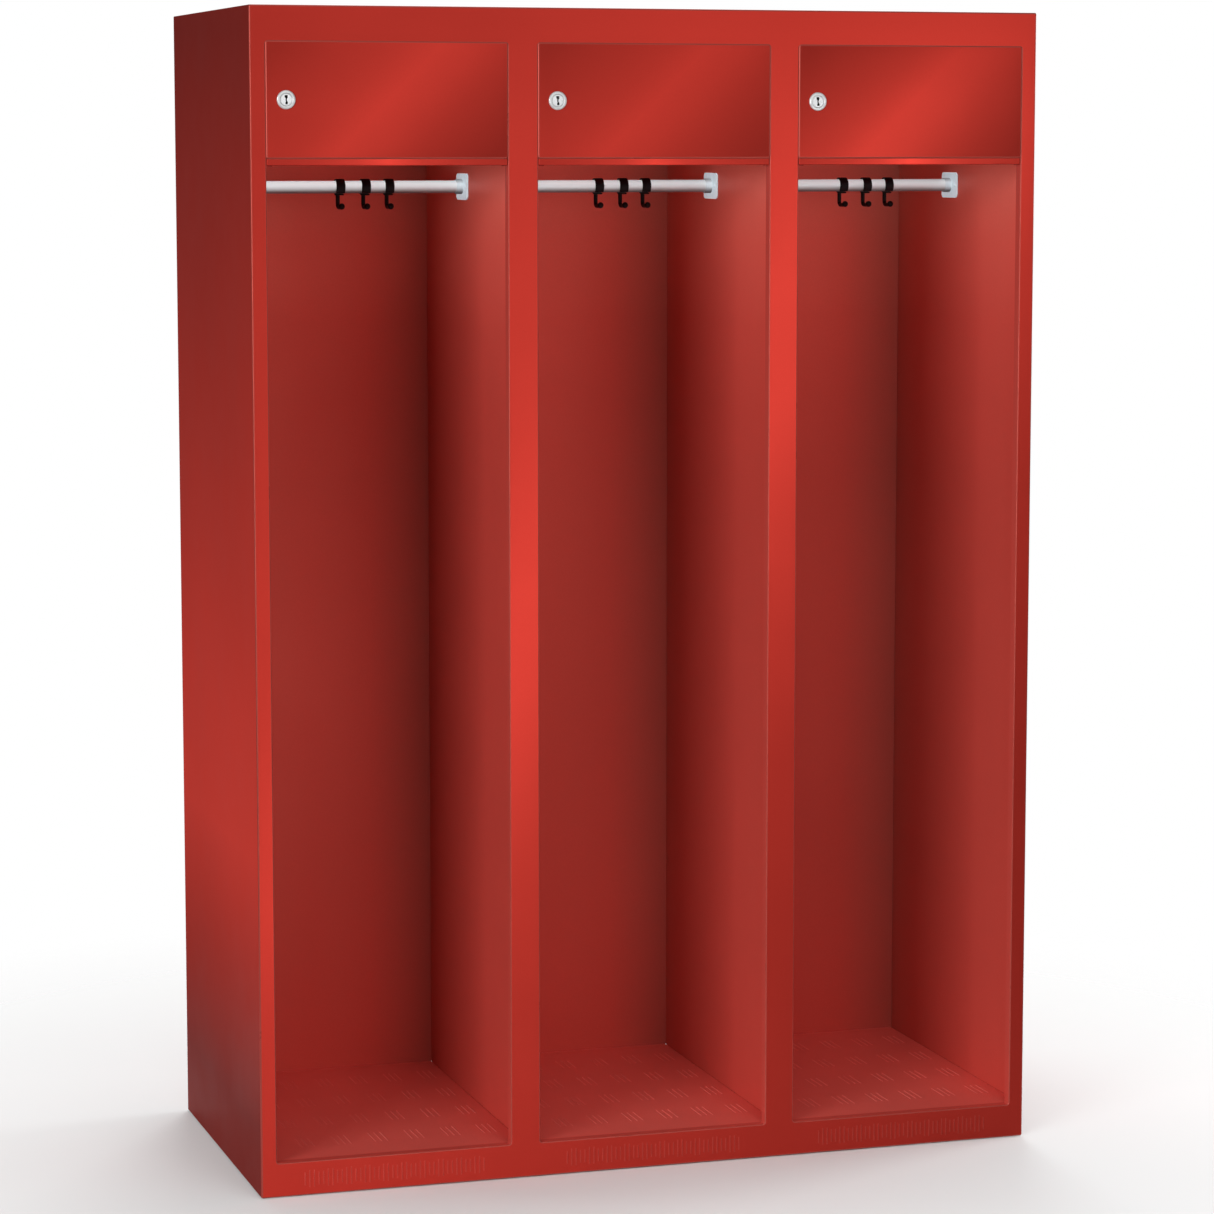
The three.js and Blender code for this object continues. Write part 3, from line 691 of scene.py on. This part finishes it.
def front_frame():
    """Header, plinth and stiles as one pressed face, folded back round its outside and every opening."""
    skin = Skin(facing_front(y=FRONT))
    outer = skin.rings(rectangle(-SIDE, SIDE, FOOT, TOP, 2.2 * MM), folded(2.0 * MM, FACE_RETURN), -1, 4)
    holes = []
    for x in BAY_X:
        opening = rectangle(x - HALF_OPENING, x + HALF_OPENING, PLINTH_Z, HEADER_Z, 3.5 * MM, 8)
        holes.append(skin.rings(opening, folded(1.6 * MM, OPENING_RETURN), 1, 3, 1, 3))
        for number in range(VENTS):
            u = x + (number - (VENTS - 1) / 2) * VENT_PITCH
            length = VENT_SHORT if math.ceil(number / 2) % 2 == 0 else VENT_LONG
            holes.append(slit(skin, u, PLINTH_Z / 2, VENT_HALF, length / 2, 2))
    skin.fill(outer, holes)
    meshes = [sheet(skin)]
    for x in BAY_X:
        left, right = x - HALF_OPENING + 20 * MM, x + HALF_OPENING - 40 * MM
        lip = rectangle(left, right, HEADER_Z - STOP_LIP, HEADER_Z + 1 * MM, 1.5 * MM)
        meshes.append(slab(facing_front(y=FRONT + STOP_DEPTH), lip, WALL, 0.2 * MM))
    flange = rectangle(-SIDE + 2 * MM, SIDE - 2 * MM, FRONT + 1.2 * MM, FRONT + 44 * MM, 1 * MM)
    meshes.append(slab(facing_up(z=FOOT + 7.5 * MM), flange, WALL, 0.2 * MM))
    piece(
        "front_frame", meshes, [red_frame_painted_highlight, red_edge_highlight, red_vent_highlight, red_return_painted_light], "cabinet",
        [
            "header_rail", "plinth_rail", "left_end_stile", "right_end_stile",
            "left_middle_stile", "right_middle_stile",
        ],
    )


def side_panels():
    for side, sign in (("left", -1), ("right", 1)):
        skin = Skin(facing_side(sign * SIDE, sign))
        shape = rectangle(SHELL_FRONT, BACK, FOOT, TOP, 1.8 * MM)
        skin.fill(skin.rings(shape, folded(1.5 * MM, SHELL_RETURN), -1))
        piece(
            f"{side}_side", [sheet(skin, inner=2)], [red_side_painted_light, red_edge_highlight, red_inside_painted_light], "cabinet",
            [f"{side}_side_panel"],
        )


def roof():
    inside = SIDE - SHELL_RETURN - SEAM
    skin = Skin(facing_up(z=TOP))
    shape = rectangle(-inside, inside, SHELL_FRONT, BACK, 1.6 * MM)
    skin.fill(skin.rings(shape, folded(1.4 * MM, 12 * MM), -1))
    piece("roof", [sheet(skin)], [red_roof, red_edge_highlight], "cabinet", ["roof_panel"])


def dome(place, radius, height, steps=16, rings=4):
    """A low round rivet head standing out of depth 0."""
    arcs = [math.pi / 2 * k / rings for k in range(rings + 1)]
    profile = [(radius * math.sin(a), -height * math.cos(a)) for a in arcs]
    return turned(place, profile + [(radius, 0.4 * MM), (0, 0.4 * MM)], steps)


def rivet(x, y, z):
    """A blind rivet's bare head on the back."""
    return finished(dome(facing_rear(x, y, z), 3.8 * MM, 0.95 * MM), 2)


def back():
    """Three plain sheets between the side panels' returns, riveted to partitions, shelves and base."""
    outer_y = BACK - 1.05 * MM
    half_joint, side_gap = 0.4 * MM, 1.4 * MM
    meshes = []
    for x in BAY_X:
        left = max(x - OPENING_PITCH / 2 + half_joint, -SIDE + side_gap)
        right = min(x + OPENING_PITCH / 2 - half_joint, SIDE - side_gap)
        shape = rectangle(left, right, FOOT, TOP - 12.2 * MM, 1.2 * MM)
        plate = slab(facing_rear(y=outer_y), shape, 0.9 * MM, 0.25 * MM)
        # Faces looking into the bays take the back coat, with painted light and shade; the others take the
        # plain coat.
        for polygon in plate.polygons:
            polygon.material_index = 1 if polygon.normal.y > -0.5 else 0
        meshes.append(plate)
        heights = [FIRST_RIVET + (LAST_RIVET - FIRST_RIVET) * k / (RIVETS - 1) for k in range(RIVETS)]
        for edge in (left + RIVET_INSET, right - RIVET_INSET):
            meshes += [rivet(edge, outer_y, z) for z in heights]
        for z in (SHELF_Z - 6 * MM, FLOOR_Z - 7 * MM):
            meshes += [rivet(x + step * CROSS_RIVET_PITCH, outer_y, z) for step in (-1, 0, 1)]
    piece("back", meshes, [red_back_painted_light_and_shade, red_roof, steel], "cabinet", ["back_panel"])


front_frame()
side_panels()
roof()
back()

# ---- Shelves and floors ------------------------------------------------------------------------------

MOUTH = HALF_OPENING - SEAM
BEHIND_STOP = FRONT + STOP_DEPTH + WALL + SEAM
REAR = high("left_floor").y


def tray_outline(x, front_y, radius):
    """Narrow between the stiles, full width behind them."""
    corners = [
        (x - MOUTH, front_y), (x + MOUTH, front_y),
        (x + MOUTH, BEHIND_STOP), (x + BAY_INNER, BEHIND_STOP),
        (x + BAY_INNER, REAR), (x - BAY_INNER, REAR),
        (x - BAY_INNER, BEHIND_STOP), (x - MOUTH, BEHIND_STOP),
    ]
    return outline(corners, radius)


def shelf(bay, x):
    """A tray whose front lip shows between the stiles, under the door."""
    skin = Skin(facing_up(z=SHELF_Z))
    shape = tray_outline(x, FRONT, 1.7 * MM)
    skin.fill(skin.rings(shape, folded(1.5 * MM, 10 * MM, 9 * MM), -1, 3))
    piece(
        f"{bay}_shelf_tray", [sheet(skin)], [red_lip_painted_light, red_edge_highlight], "cabinet",
        [f"{bay}_shelf"],
    )


def floor(bay, x):
    """A tray with groups of slots in rows."""
    skin = Skin(facing_up(z=FLOOR_Z))
    outer = skin.rings(tray_outline(x, FRONT + 1.3 * MM, 1.7 * MM), folded(1.2 * MM, 14 * MM), -1)
    holes = []
    for row in range(SLOT_ROWS):
        y = FRONT + (FIRST_SLOT_ROW + SLOT_ROW_PITCH * row) * MM
        for column in range(SLOT_COLUMNS):
            group = (column - (SLOT_COLUMNS - 1) / 2) * SLOT_COLUMN_PITCH
            for number in range(SLOTS_PER_GROUP):
                u = x + (group + (number - (SLOTS_PER_GROUP - 1) / 2) * SLOT_PITCH) * MM
                holes.append(slit(skin, u, y, SLOT_HALF, SLOT_LENGTH / 2, 1))
    skin.fill(outer, holes)
    piece(
        f"{bay}_floor_tray", [sheet(skin)], [red_floor_painted_light, red_slot_highlight], "cabinet",
        [f"{bay}_floor"],
    )


for bay, x in zip(BAYS, BAY_X):
    shelf(bay, x)
    floor(bay, x)

# ---- Doors -------------------------------------------------------------------------------------------

DOOR_GROWTH = 1.05 * MM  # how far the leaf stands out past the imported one, all round
DOOR_RETURN, DOOR_HEM = 15 * MM, 9 * MM
CROWN = 0.7 * MM
CROWN_COLUMNS, CROWN_ROWS = 28, 14
LOCK_HOLE = 11.1 * MM
FLAT_ROUND_LOCK = 14 * MM


def door(bay, x):
    """A folded leaf with a slight crown, a hole for the lock and a stiffener behind it."""
    node = f"{bay}_door"
    (x0, y0, z0), (x1, _, z1) = low(node), high(node)
    middle_x, middle_z = (x0 + x1) / 2, (z0 + z1) / 2
    skin = Skin(facing_front(y=y0))
    shape = rectangle(x0 - DOOR_GROWTH, x1 + DOOR_GROWTH, z0 - DOOR_GROWTH, z1 + DOOR_GROWTH, 2.2 * MM)
    outer = skin.rings(shape, folded(1.3 * MM, DOOR_RETURN, DOOR_HEM), -1, 3)
    lock = (low(f"{bay}_lock_housing") + high(f"{bay}_lock_housing")) / 2
    hole = skin.ring(circle(lock.x, lock.z, LOCK_HOLE, 32)(), 0)
    inner = []
    for i in range(1, CROWN_COLUMNS):
        for j in range(1, CROWN_ROWS):
            u = x0 + (x1 - x0) * i / CROWN_COLUMNS
            v = z0 + (z1 - z0) * j / CROWN_ROWS
            if (Vector((u, v)) - Vector((lock.x, lock.z))).length > FLAT_ROUND_LOCK:
                a, b = 2 * (u - middle_x) / (x1 - x0), 2 * (v - middle_z) / (z1 - z0)
                inner += skin.ring([(u, v)], -CROWN * (1 - a * a) * (1 - b * b))
    skin.fill(outer, [hole], inner)
    meshes = [sheet(skin)]
    stiffener = Skin(facing_rear(y=y0 + 9 * MM))
    edge = rectangle(x0 + 70 * MM, x1 - 40 * MM, middle_z - 16 * MM, middle_z + 16 * MM, 3 * MM)
    stiffener.fill(stiffener.rings(edge, folded(1.5 * MM, 7 * MM), -1))
    meshes.append(sheet(stiffener, 0.8 * MM))
    piece(f"{bay}_door_leaf", meshes, [door_coat(bay, x), red_edge_highlight], node, [node])


for bay, x in zip(BAYS, BAY_X):
    door(bay, x)

# ---- Locks: profiles and outlines in millimetres from the middle of the face ---------------------------

ROSETTE = [
    (8.75, 21), (8.75, 1.0), (9.1, 0.35), (9.7, 0.0), (11.6, 0.0),
    (12.7, 0.35), (13.3, 1.1), (13.5, 2.0), (13.5, 3.7), (10.9, 3.7),
]
HOUSING_END = [(10.6, 20.6), (10.0, 21), (8.75, 21)]
KEYWAY = [
    (-1.2, -6.4), (2.3, -6.4), (2.3, -3.1), (0.9, -1.7), (0.9, 1.3), (2.1, 2.9), (2.1, 6.4),
    (-2.3, 6.4), (-2.3, 3.4), (-0.9, 1.9), (-0.9, -1.3), (-0.2, -2.6), (-1.2, -3.6),
]
KEYWAY_DEPTH = 8
CORE_RECESS = 1.2
CORE_END = 20.8
FIRST_THREAD, LAST_THREAD, THREAD_PITCH = 5.0, 20.2, 0.9


def hexagon(radius, steps=4):
    """A hexagon with slightly rounded corners, as a function of how far it has grown."""
    flat = math.radians(30)
    corner = [math.radians(6 - 12 * k / (steps - 1)) for k in range(steps)]

    def grown(by=0.0):
        points = []
        for k in range(6):
            for off in corner:
                a = math.radians(60 * k) - off
                r = (radius + by) * math.cos(flat) / math.cos(flat - abs(off) * 0.35)
                points.append(Vector((r * math.cos(a), r * math.sin(a))))
        return points

    return grown


def lock_body(bay, centre, face):
    """The threaded housing with its rosette, and the nut that clamps it to the door."""
    profile = list(ROSETTE)
    thread = FIRST_THREAD
    while thread < LAST_THREAD:
        profile += [(10.8, thread), (10.35, thread + 0.4), (10.8, thread + 0.8)]
        thread += THREAD_PITCH
    housing = turned(facing_front(centre.x, face, centre.z), in_mm(profile + HOUSING_END), 64)
    behind = facing_front(centre.x, face + 5.2 * MM, centre.z)
    nut = slab(behind, hexagon(15.2 * MM), 4 * MM, 0.4 * MM, [circle(0, 0, 10.4 * MM, 32)])
    piece(
        f"{bay}_lock_body", [housing, nut], [nickel, nickel], f"{bay}_door",
        [f"{bay}_lock_housing"],
    )


def lock_plug(bay, centre, face):
    """The core with its keyway, whose walls and bottom carry painted shade, and the stud that holds the
    cam.
    """
    place = facing_front(centre.x, face, centre.z)
    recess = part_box(f"{bay}_lock_core")[0].y - face + CORE_RECESS * MM
    skin = Skin(place)
    start = recess / MM
    rim = [(8.1, start), (8.4, start + 0.15), (8.5, start + 0.5), (8.5, CORE_END)]
    rings = [skin.ring(circle(0, 0, r, 64)(), d) for r, d in in_mm(rim)]
    for a, b in zip(rings, rings[1:]):
        skin.band(a, b)
    keyway = in_mm(KEYWAY)
    mouth, bottom = skin.ring(keyway, recess), skin.ring(keyway, KEYWAY_DEPTH * MM)
    skin.band(mouth, bottom)
    skin.fill(rings[0], [mouth])
    skin.fill(bottom)
    skin.fill(rings[-1])
    stud = turned(place, in_mm([(0, CORE_END), (4, CORE_END), (4, 24.4), (3.6, 25.0), (0, 25.0)]), 32)
    made = piece(
        f"{bay}_lock_plug", [closed(skin), stud], [nickel_bright, painted_keyway_shade], f"{bay}_lock",
        [f"{bay}_lock_core"],
    )
    # Faces inside the keyway take the painted shade.
    for polygon in made.data.polygons:
        c = polygon.center
        inside = abs(c.x - centre.x) < 2.5 * MM and abs(c.z - centre.z) < 6.6 * MM
        if inside and face + recess + 0.05 * MM < c.y < face + (KEYWAY_DEPTH + 1) * MM:
            polygon.material_index = 1


def lock_tongue(bay, centre):
    """The cam, and the cap screw that holds it."""
    lo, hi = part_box(f"{bay}_lock_cam")
    half = (hi.x - lo.x) / 2
    shape = rectangle(-half, half, lo.z - centre.z, hi.z - centre.z, half - 0.1 * MM, 10)
    bore = circle(0, 0, 4.2 * MM, 32)
    cam = slab(facing_front(centre.x, lo.y, centre.z), shape, hi.y - lo.y, 0.35 * MM, [bore])
    cap = slab(facing_front(centre.x, hi.y + 0.1 * MM, centre.z), hexagon(6.4 * MM), 3 * MM, 0.4 * MM)
    piece(
        f"{bay}_lock_tongue", [cam, cap], [steel, steel], f"{bay}_lock",
        [f"{bay}_lock_cam"],
    )


for bay in BAYS:
    lo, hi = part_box(f"{bay}_lock_housing")
    lock_body(bay, (lo + hi) / 2, lo.y)
    lock_plug(bay, (lo + hi) / 2, lo.y)
    lock_tongue(bay, (lo + hi) / 2)

# ---- Rails, brackets and hooks -----------------------------------------------------------------------


def rail(bay):
    """A tube between two brackets."""
    node = f"{bay}_clothes_rail"
    (x0, y0, z0), (x1, y1, z1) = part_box(node)
    radius, bore = (z1 - z0) / 2, (z1 - z0) / 2 - 1.5 * MM
    length = x1 - x0
    inside = (bore, length / 2)
    walls = [inside, (bore, 0), (radius, 0), (radius, length), (bore, length), inside]
    tube = turned(along_x(x0, (y0 + y1) / 2, (z0 + z1) / 2), eased(walls, 0.5 * MM), 64)
    piece(f"{bay}_rail_tube", [tube], [rail_finish_painted_shade], "cabinet", [node])
    for side, sign in (("left", 1), ("right", -1)):
        bracket(bay, side, sign)


def screw_head(place, radius):
    """A plain domed head that sinks a little into what it holds."""
    arcs = [math.pi / 2 * k / 5 for k in range(6)]
    head = [(radius * math.sin(a), -0.5 * radius * math.cos(a)) for a in arcs]
    return turned(place, head + [(radius * 0.96, 0.3 * MM), (0, 0.3 * MM)], 24)


def bracket(bay, side, sign):
    """A plate on the bay's wall, the collar that holds the rail, and two screws."""
    node = f"{bay}_rail_bracket_{side}"
    lo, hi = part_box(node)
    y, z = (lo.y + hi.y) / 2, (lo.z + hi.z) / 2
    wall = lo.x if sign > 0 else hi.x
    reach = hi.x - lo.x
    plate_depth = 2.5 * MM
    plate = slab(
        lambda u, v, d: (wall + sign * (plate_depth - d), y + u, z + v),
        rectangle(lo.y - y, hi.y - y, lo.z - z, hi.z - z, 7 * MM, 8), plate_depth, 0.7 * MM,
    )
    bore, outer, root = 9.8 * MM, COLLAR_RADIUS, 1.4 * MM
    walls = [(bore, root), (bore, reach), (outer, reach), (outer, root), (bore, root)]
    collar = finished(turned(along_x(wall, y, z, sign), eased(walls, 0.9 * MM), 64), 1)
    piece(
        f"{bay}_bracket_{side}", [plate, collar], [bracket_finish, collar_painted_shade], "cabinet",
        [node],
    )
    heads = [
        screw_head(along_x(wall + sign * plate_depth, y + apart, z, -sign), 3.2 * MM)
        for apart in (-22 * MM, 22 * MM)
    ]
    piece(f"{bay}_bracket_{side}_screws", heads, [bracket_finish], "cabinet", ())


for bay in BAYS:
    rail(bay)


def swept(path, section):
    """A closed mesh along a path in the YZ plane. section is a list of (across, out) points."""
    skin = Skin(None)
    rings = []
    for k, p in enumerate(path):
        before, after = path[max(k - 1, 0)], path[min(k + 1, len(path) - 1)]
        along = (Vector(after) - Vector(before)).normalized()
        normal = Vector((-along.y, along.x))
        start = len(skin.points)
        for across, out in section:
            q = Vector(p) + normal * out
            skin.points.append((across, q.x, q.y))
        rings.append(list(range(start, len(skin.points))))
    for a, b in zip(rings, rings[1:]):
        skin.band(a, b)
    skin.faces.append(tuple(reversed(rings[0])))
    skin.faces.append(tuple(rings[-1]))
    return closed(skin)


def hook_mesh():
    """About the rail's axis: a snap-on ring, a stem behind it, and a forward foot that ends in a ball."""
    inner, outer, width = 10.05 * MM, 12.4 * MM, 14 * MM
    middle, half = (inner + outer) / 2, (outer - inner) / 2
    turns = [math.radians(-100 + 330 * k / 40) for k in range(41)]
    path = [(middle * math.cos(a), middle * math.sin(a)) for a in turns]
    band = [(p.x, p.y) for p in rectangle(-width / 2, width / 2, -half, half, 0.9 * MM, 4)()]
    ring = swept(path, band)
    stem_y, drop, radius = 11 * MM, 30.5 * MM, 6 * MM
    foot = [(stem_y, z) for z in (4 * MM, -5 * MM, -11 * MM, -18 * MM, -drop + radius)]
    for k in range(1, 9):
        a = -math.pi / 2 * k / 8
        foot.append((stem_y - radius + radius * math.cos(a), -drop + radius + radius * math.sin(a)))
    foot += [(0, -drop), (-6 * MM, -drop + 0.2 * MM), (-12 * MM, -drop + 0.9 * MM)]
    turns = [2 * math.pi * k / 20 for k in range(20)]
    oval = [(3.1 * MM * math.cos(a), 2.9 * MM * math.sin(a)) for a in turns]
    stem = swept(foot, oval)
    ball = bmesh.new()
    bmesh.ops.create_uvsphere(ball, u_segments=28, v_segments=18, radius=4.75 * MM)
    bmesh.ops.translate(ball, verts=ball.verts, vec=(0, -14 * MM, -drop + 1.6 * MM))
    ball_mesh = bpy.data.meshes.new("ball")
    ball.to_mesh(ball_mesh)
    ball.free()
    bm = bmesh.new()
    for part in (ring, stem, ball_mesh):
        bm.from_mesh(part)
    whole = bpy.data.meshes.new("hook")
    bm.to_mesh(whole)
    bm.free()
    return baked(
        whole,
        ("REMESH", {"mode": "VOXEL", "voxel_size": 0.55 * MM, "use_smooth_shade": True}),
        ("SMOOTH", {"factor": 0.5, "iterations": 6}),
    )


def hooks():
    """Three hooks on each rail, all of one shape."""
    shape = hook_mesh()
    for bay in BAYS:
        rail_lo, rail_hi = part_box(f"{bay}_clothes_rail")
        for number in (1, 2, 3):
            node = f"{bay}_hook_{number}"
            lo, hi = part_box(node)
            place = ((lo.x + hi.x) / 2, (rail_lo.y + rail_hi.y) / 2, (rail_lo.z + rail_hi.z) / 2)
            piece(
                f"{bay}_coat_hook_{number}", [shape], [hook_finish], node,
                [node], place, 60,
            )


hooks()

# ---- Small parts -------------------------------------------------------------------------------------


def glides():
    """A rubber foot on a threaded stem under each corner."""
    for row in ("front", "rear"):
        for side in ("left", "right"):
            node = f"{row}_{side}_glide"
            lo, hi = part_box(node)
            x, y = (lo.x + hi.x) / 2, (lo.y + hi.y) / 2
            place = facing_down(x, y, lo.z)
            foot = eased([(0, 0), (15.2, 0), (16, 1.6), (15.6, 5.2), (7, 7.4), (0, 7.4)], 0.6)
            thread = [(5 - 0.5 * (k % 2), 8 + 0.6 * k) for k in range(29)]
            stem = [(0, 6.0), (5, 6.0), *thread, (4.2, 26), (0, 26)]
            meshes = [turned(place, in_mm(foot), 40), finished(turned(place, in_mm(stem), 24), 1)]
            piece(f"{node}_foot", meshes, [rubber_finish, steel], "cabinet", [node])


def hinge_pins():
    """A headed pin at the foot and the top of each door's hinged edge, with its thrust washer."""
    for bay in BAYS:
        for level in ("lower", "upper"):
            node = f"{bay}_{level}_hinge_pin"
            lo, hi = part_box(node)
            x, y = (lo.x + hi.x) / 2, (lo.y + hi.y) / 2
            tall = (hi.z - lo.z) / MM
            place = facing_down(x, y, lo.z)
            head = [(0, 0), (2.0, 0.1), (2.6, 0.7), (2.6, 1.2)]
            shank = [(1.95, 1.25), (1.95, tall - 0.5), (1.5, tall), (0, tall)]
            washer = [(1.9, 2.8), (3.8, 2.8), (3.8, 3.6), (1.9, 3.6), (1.9, 2.8)]
            meshes = [turned(place, in_mm(profile), 24) for profile in (head + shank, washer)]
            piece(f"{node}_rivet", meshes, [steel], "cabinet", [node])


def buffers():
    """A soft button at each end of the stop lip, where the closing door would touch it."""
    profile = in_mm([(0, -1.6), (2.4, -1.5), (3.4, -0.9), (3.8, 0), (3.8, 0.2), (0, 0.2)])
    for bay, x in zip(BAYS, BAY_X):
        ends = (x - HALF_OPENING + 32 * MM, x + HALF_OPENING - 55 * MM)
        places = [facing_front(u, FRONT + STOP_DEPTH, HEADER_Z - 4.5 * MM) for u in ends]
        meshes = [turned(place, profile, 24) for place in places]
        piece(f"{bay}_door_buffers", meshes, [rubber_finish], "cabinet", ())


glides()
hinge_pins()
buffers()

# The partitions and the rear base rail take the inside coat, with its painted light and shade.
for node in ("left_partition", "right_partition", "rear_base_rail"):
    frame["nodes"][node].data.materials.clear()
    frame["nodes"][node].data.materials.append(red_inside_painted_light)

# ---- Floor, light and camera -------------------------------------------------------------------------


def pale_floor():
    """A pale disc under the locker that fades out round it."""
    mesh = bpy.data.meshes.new("floor")
    bm = bmesh.new()
    bmesh.ops.create_circle(bm, cap_ends=True, segments=96, radius=9.0)
    bm.to_mesh(mesh)
    bm.free()
    disc = bpy.data.objects.new("studio_floor", mesh)
    bpy.context.scene.collection.objects.link(disc)
    material, nodes, links, principled, where = shader("studio_floor")
    cloud = noise(nodes, links, where, 1.5, 2.0)
    pale = ramp(nodes, links, cloud, [(0.0, (0.93, 0.945, 0.945)), (1.0, (0.96, 0.975, 0.975))])
    links.new(pale, principled.inputs["Base Color"])
    principled.inputs["Roughness"].default_value = 0.9
    principled.inputs["Specular IOR Level"].default_value = 0.1
    distance = nodes.new("ShaderNodeVectorMath")
    distance.operation = "LENGTH"
    links.new(where, distance.inputs[0])
    fade = remapped(nodes, links, distance.outputs["Value"], 0.4, 1.7, 1.0, 0.0)
    links.new(fade, principled.inputs["Alpha"])
    mesh.materials.append(material)


def softbox(name, place, target, size, power, tilt=0.0):
    """A rectangular light aimed at a point, turned about its own axis by tilt degrees."""
    data = bpy.data.lights.new(name, "AREA")
    data.shape = "RECTANGLE"
    data.size, data.size_y = size
    data.energy = power
    light = bpy.data.objects.new(name, data)
    aim = (Vector(target) - Vector(place)).to_track_quat("-Z", "Y").to_matrix().to_4x4()
    light.matrix_world = Matrix.Translation(place) @ aim @ Matrix.Rotation(math.radians(tilt), 4, "Z")
    light.visible_camera = False
    bpy.context.scene.collection.objects.link(light)
    return light


def studio():
    """A white background, a weak even light, soft boxes, and one that lights only the rails."""
    world = bpy.data.worlds.new("studio")
    bpy.context.scene.world = world
    world.use_nodes = True
    nodes, links = world.node_tree.nodes, world.node_tree.links
    nodes.clear()
    output = nodes.new("ShaderNodeOutputWorld")
    seen, light = nodes.new("ShaderNodeBackground"), nodes.new("ShaderNodeBackground")
    for background, strength in ((seen, 1.0), (light, 0.13)):
        background.inputs["Color"].default_value = (1, 1, 1, 1)
        background.inputs["Strength"].default_value = strength
    path = nodes.new("ShaderNodeLightPath")
    mix = nodes.new("ShaderNodeMixShader")
    links.new(path.outputs["Is Camera Ray"], mix.inputs[0])
    links.new(light.outputs[0], mix.inputs[1])
    links.new(seen.outputs[0], mix.inputs[2])
    links.new(mix.outputs[0], output.inputs[0])
    softbox("front", (0.3, -5.0, 2.0), (0, 0, 0.8), (2.6, 2.6), 30)
    softbox("high", (-0.6, -3.2, 4.4), (0, 0, 0.5), (2.6, 2.6), 30)
    softbox("left_front", (-6.2, -5.3, 1.9), (0, 0, 0.8), (3.3, 3.6), 400)
    softbox("strip", (0.26, -1.15, 0.93), (0.26, 0, 0.93), (2.0, 0.28), 3.8, 47.4)
    rear = softbox("rear", (1.6, 5.0, 2.6), (0, 0, 0.8), (2.6, 2.6), 150)
    rear.visible_glossy = False  # or the roof would mirror it as a white sheet
    softbox("right", (4.6, 0.6, 2.0), (0, 0, 0.8), (2.2, 2.2), 110)
    softbox("overhead", (0.2, 1.2, 4.6), (0, 0.4, 0), (2.6, 2.0), 60)
    rails = softbox("rails", (-2.4, -2.2, 3.6), (0, 0, 1.45), (2.0, 0.8), 150)
    rails.data.use_shadow = False
    receivers = bpy.data.collections.new("rails_and_brackets")
    for obj in bpy.context.scene.objects:
        if "_rail_tube" in obj.name or "_bracket_" in obj.name:
            receivers.objects.link(obj)
    rails.light_linking.receiver_collection = receivers
    bpy.context.scene.view_settings.view_transform = "Standard"


def camera():
    """The eye stands left of the locker, near its top, and looks right and slightly down."""
    data = bpy.data.cameras.new("camera")
    data.lens = 113.83
    data.sensor_width = 36.0
    data.clip_end = 100
    cam = bpy.data.objects.new("camera", data)
    cam.location = (-1.7550, -5.6130, 1.5268)
    cam.rotation_euler = (math.radians(90 - 6.891), 0, math.radians(-17.473))
    bpy.context.scene.collection.objects.link(cam)
    bpy.context.scene.camera = cam


pale_floor()
studio()
camera()
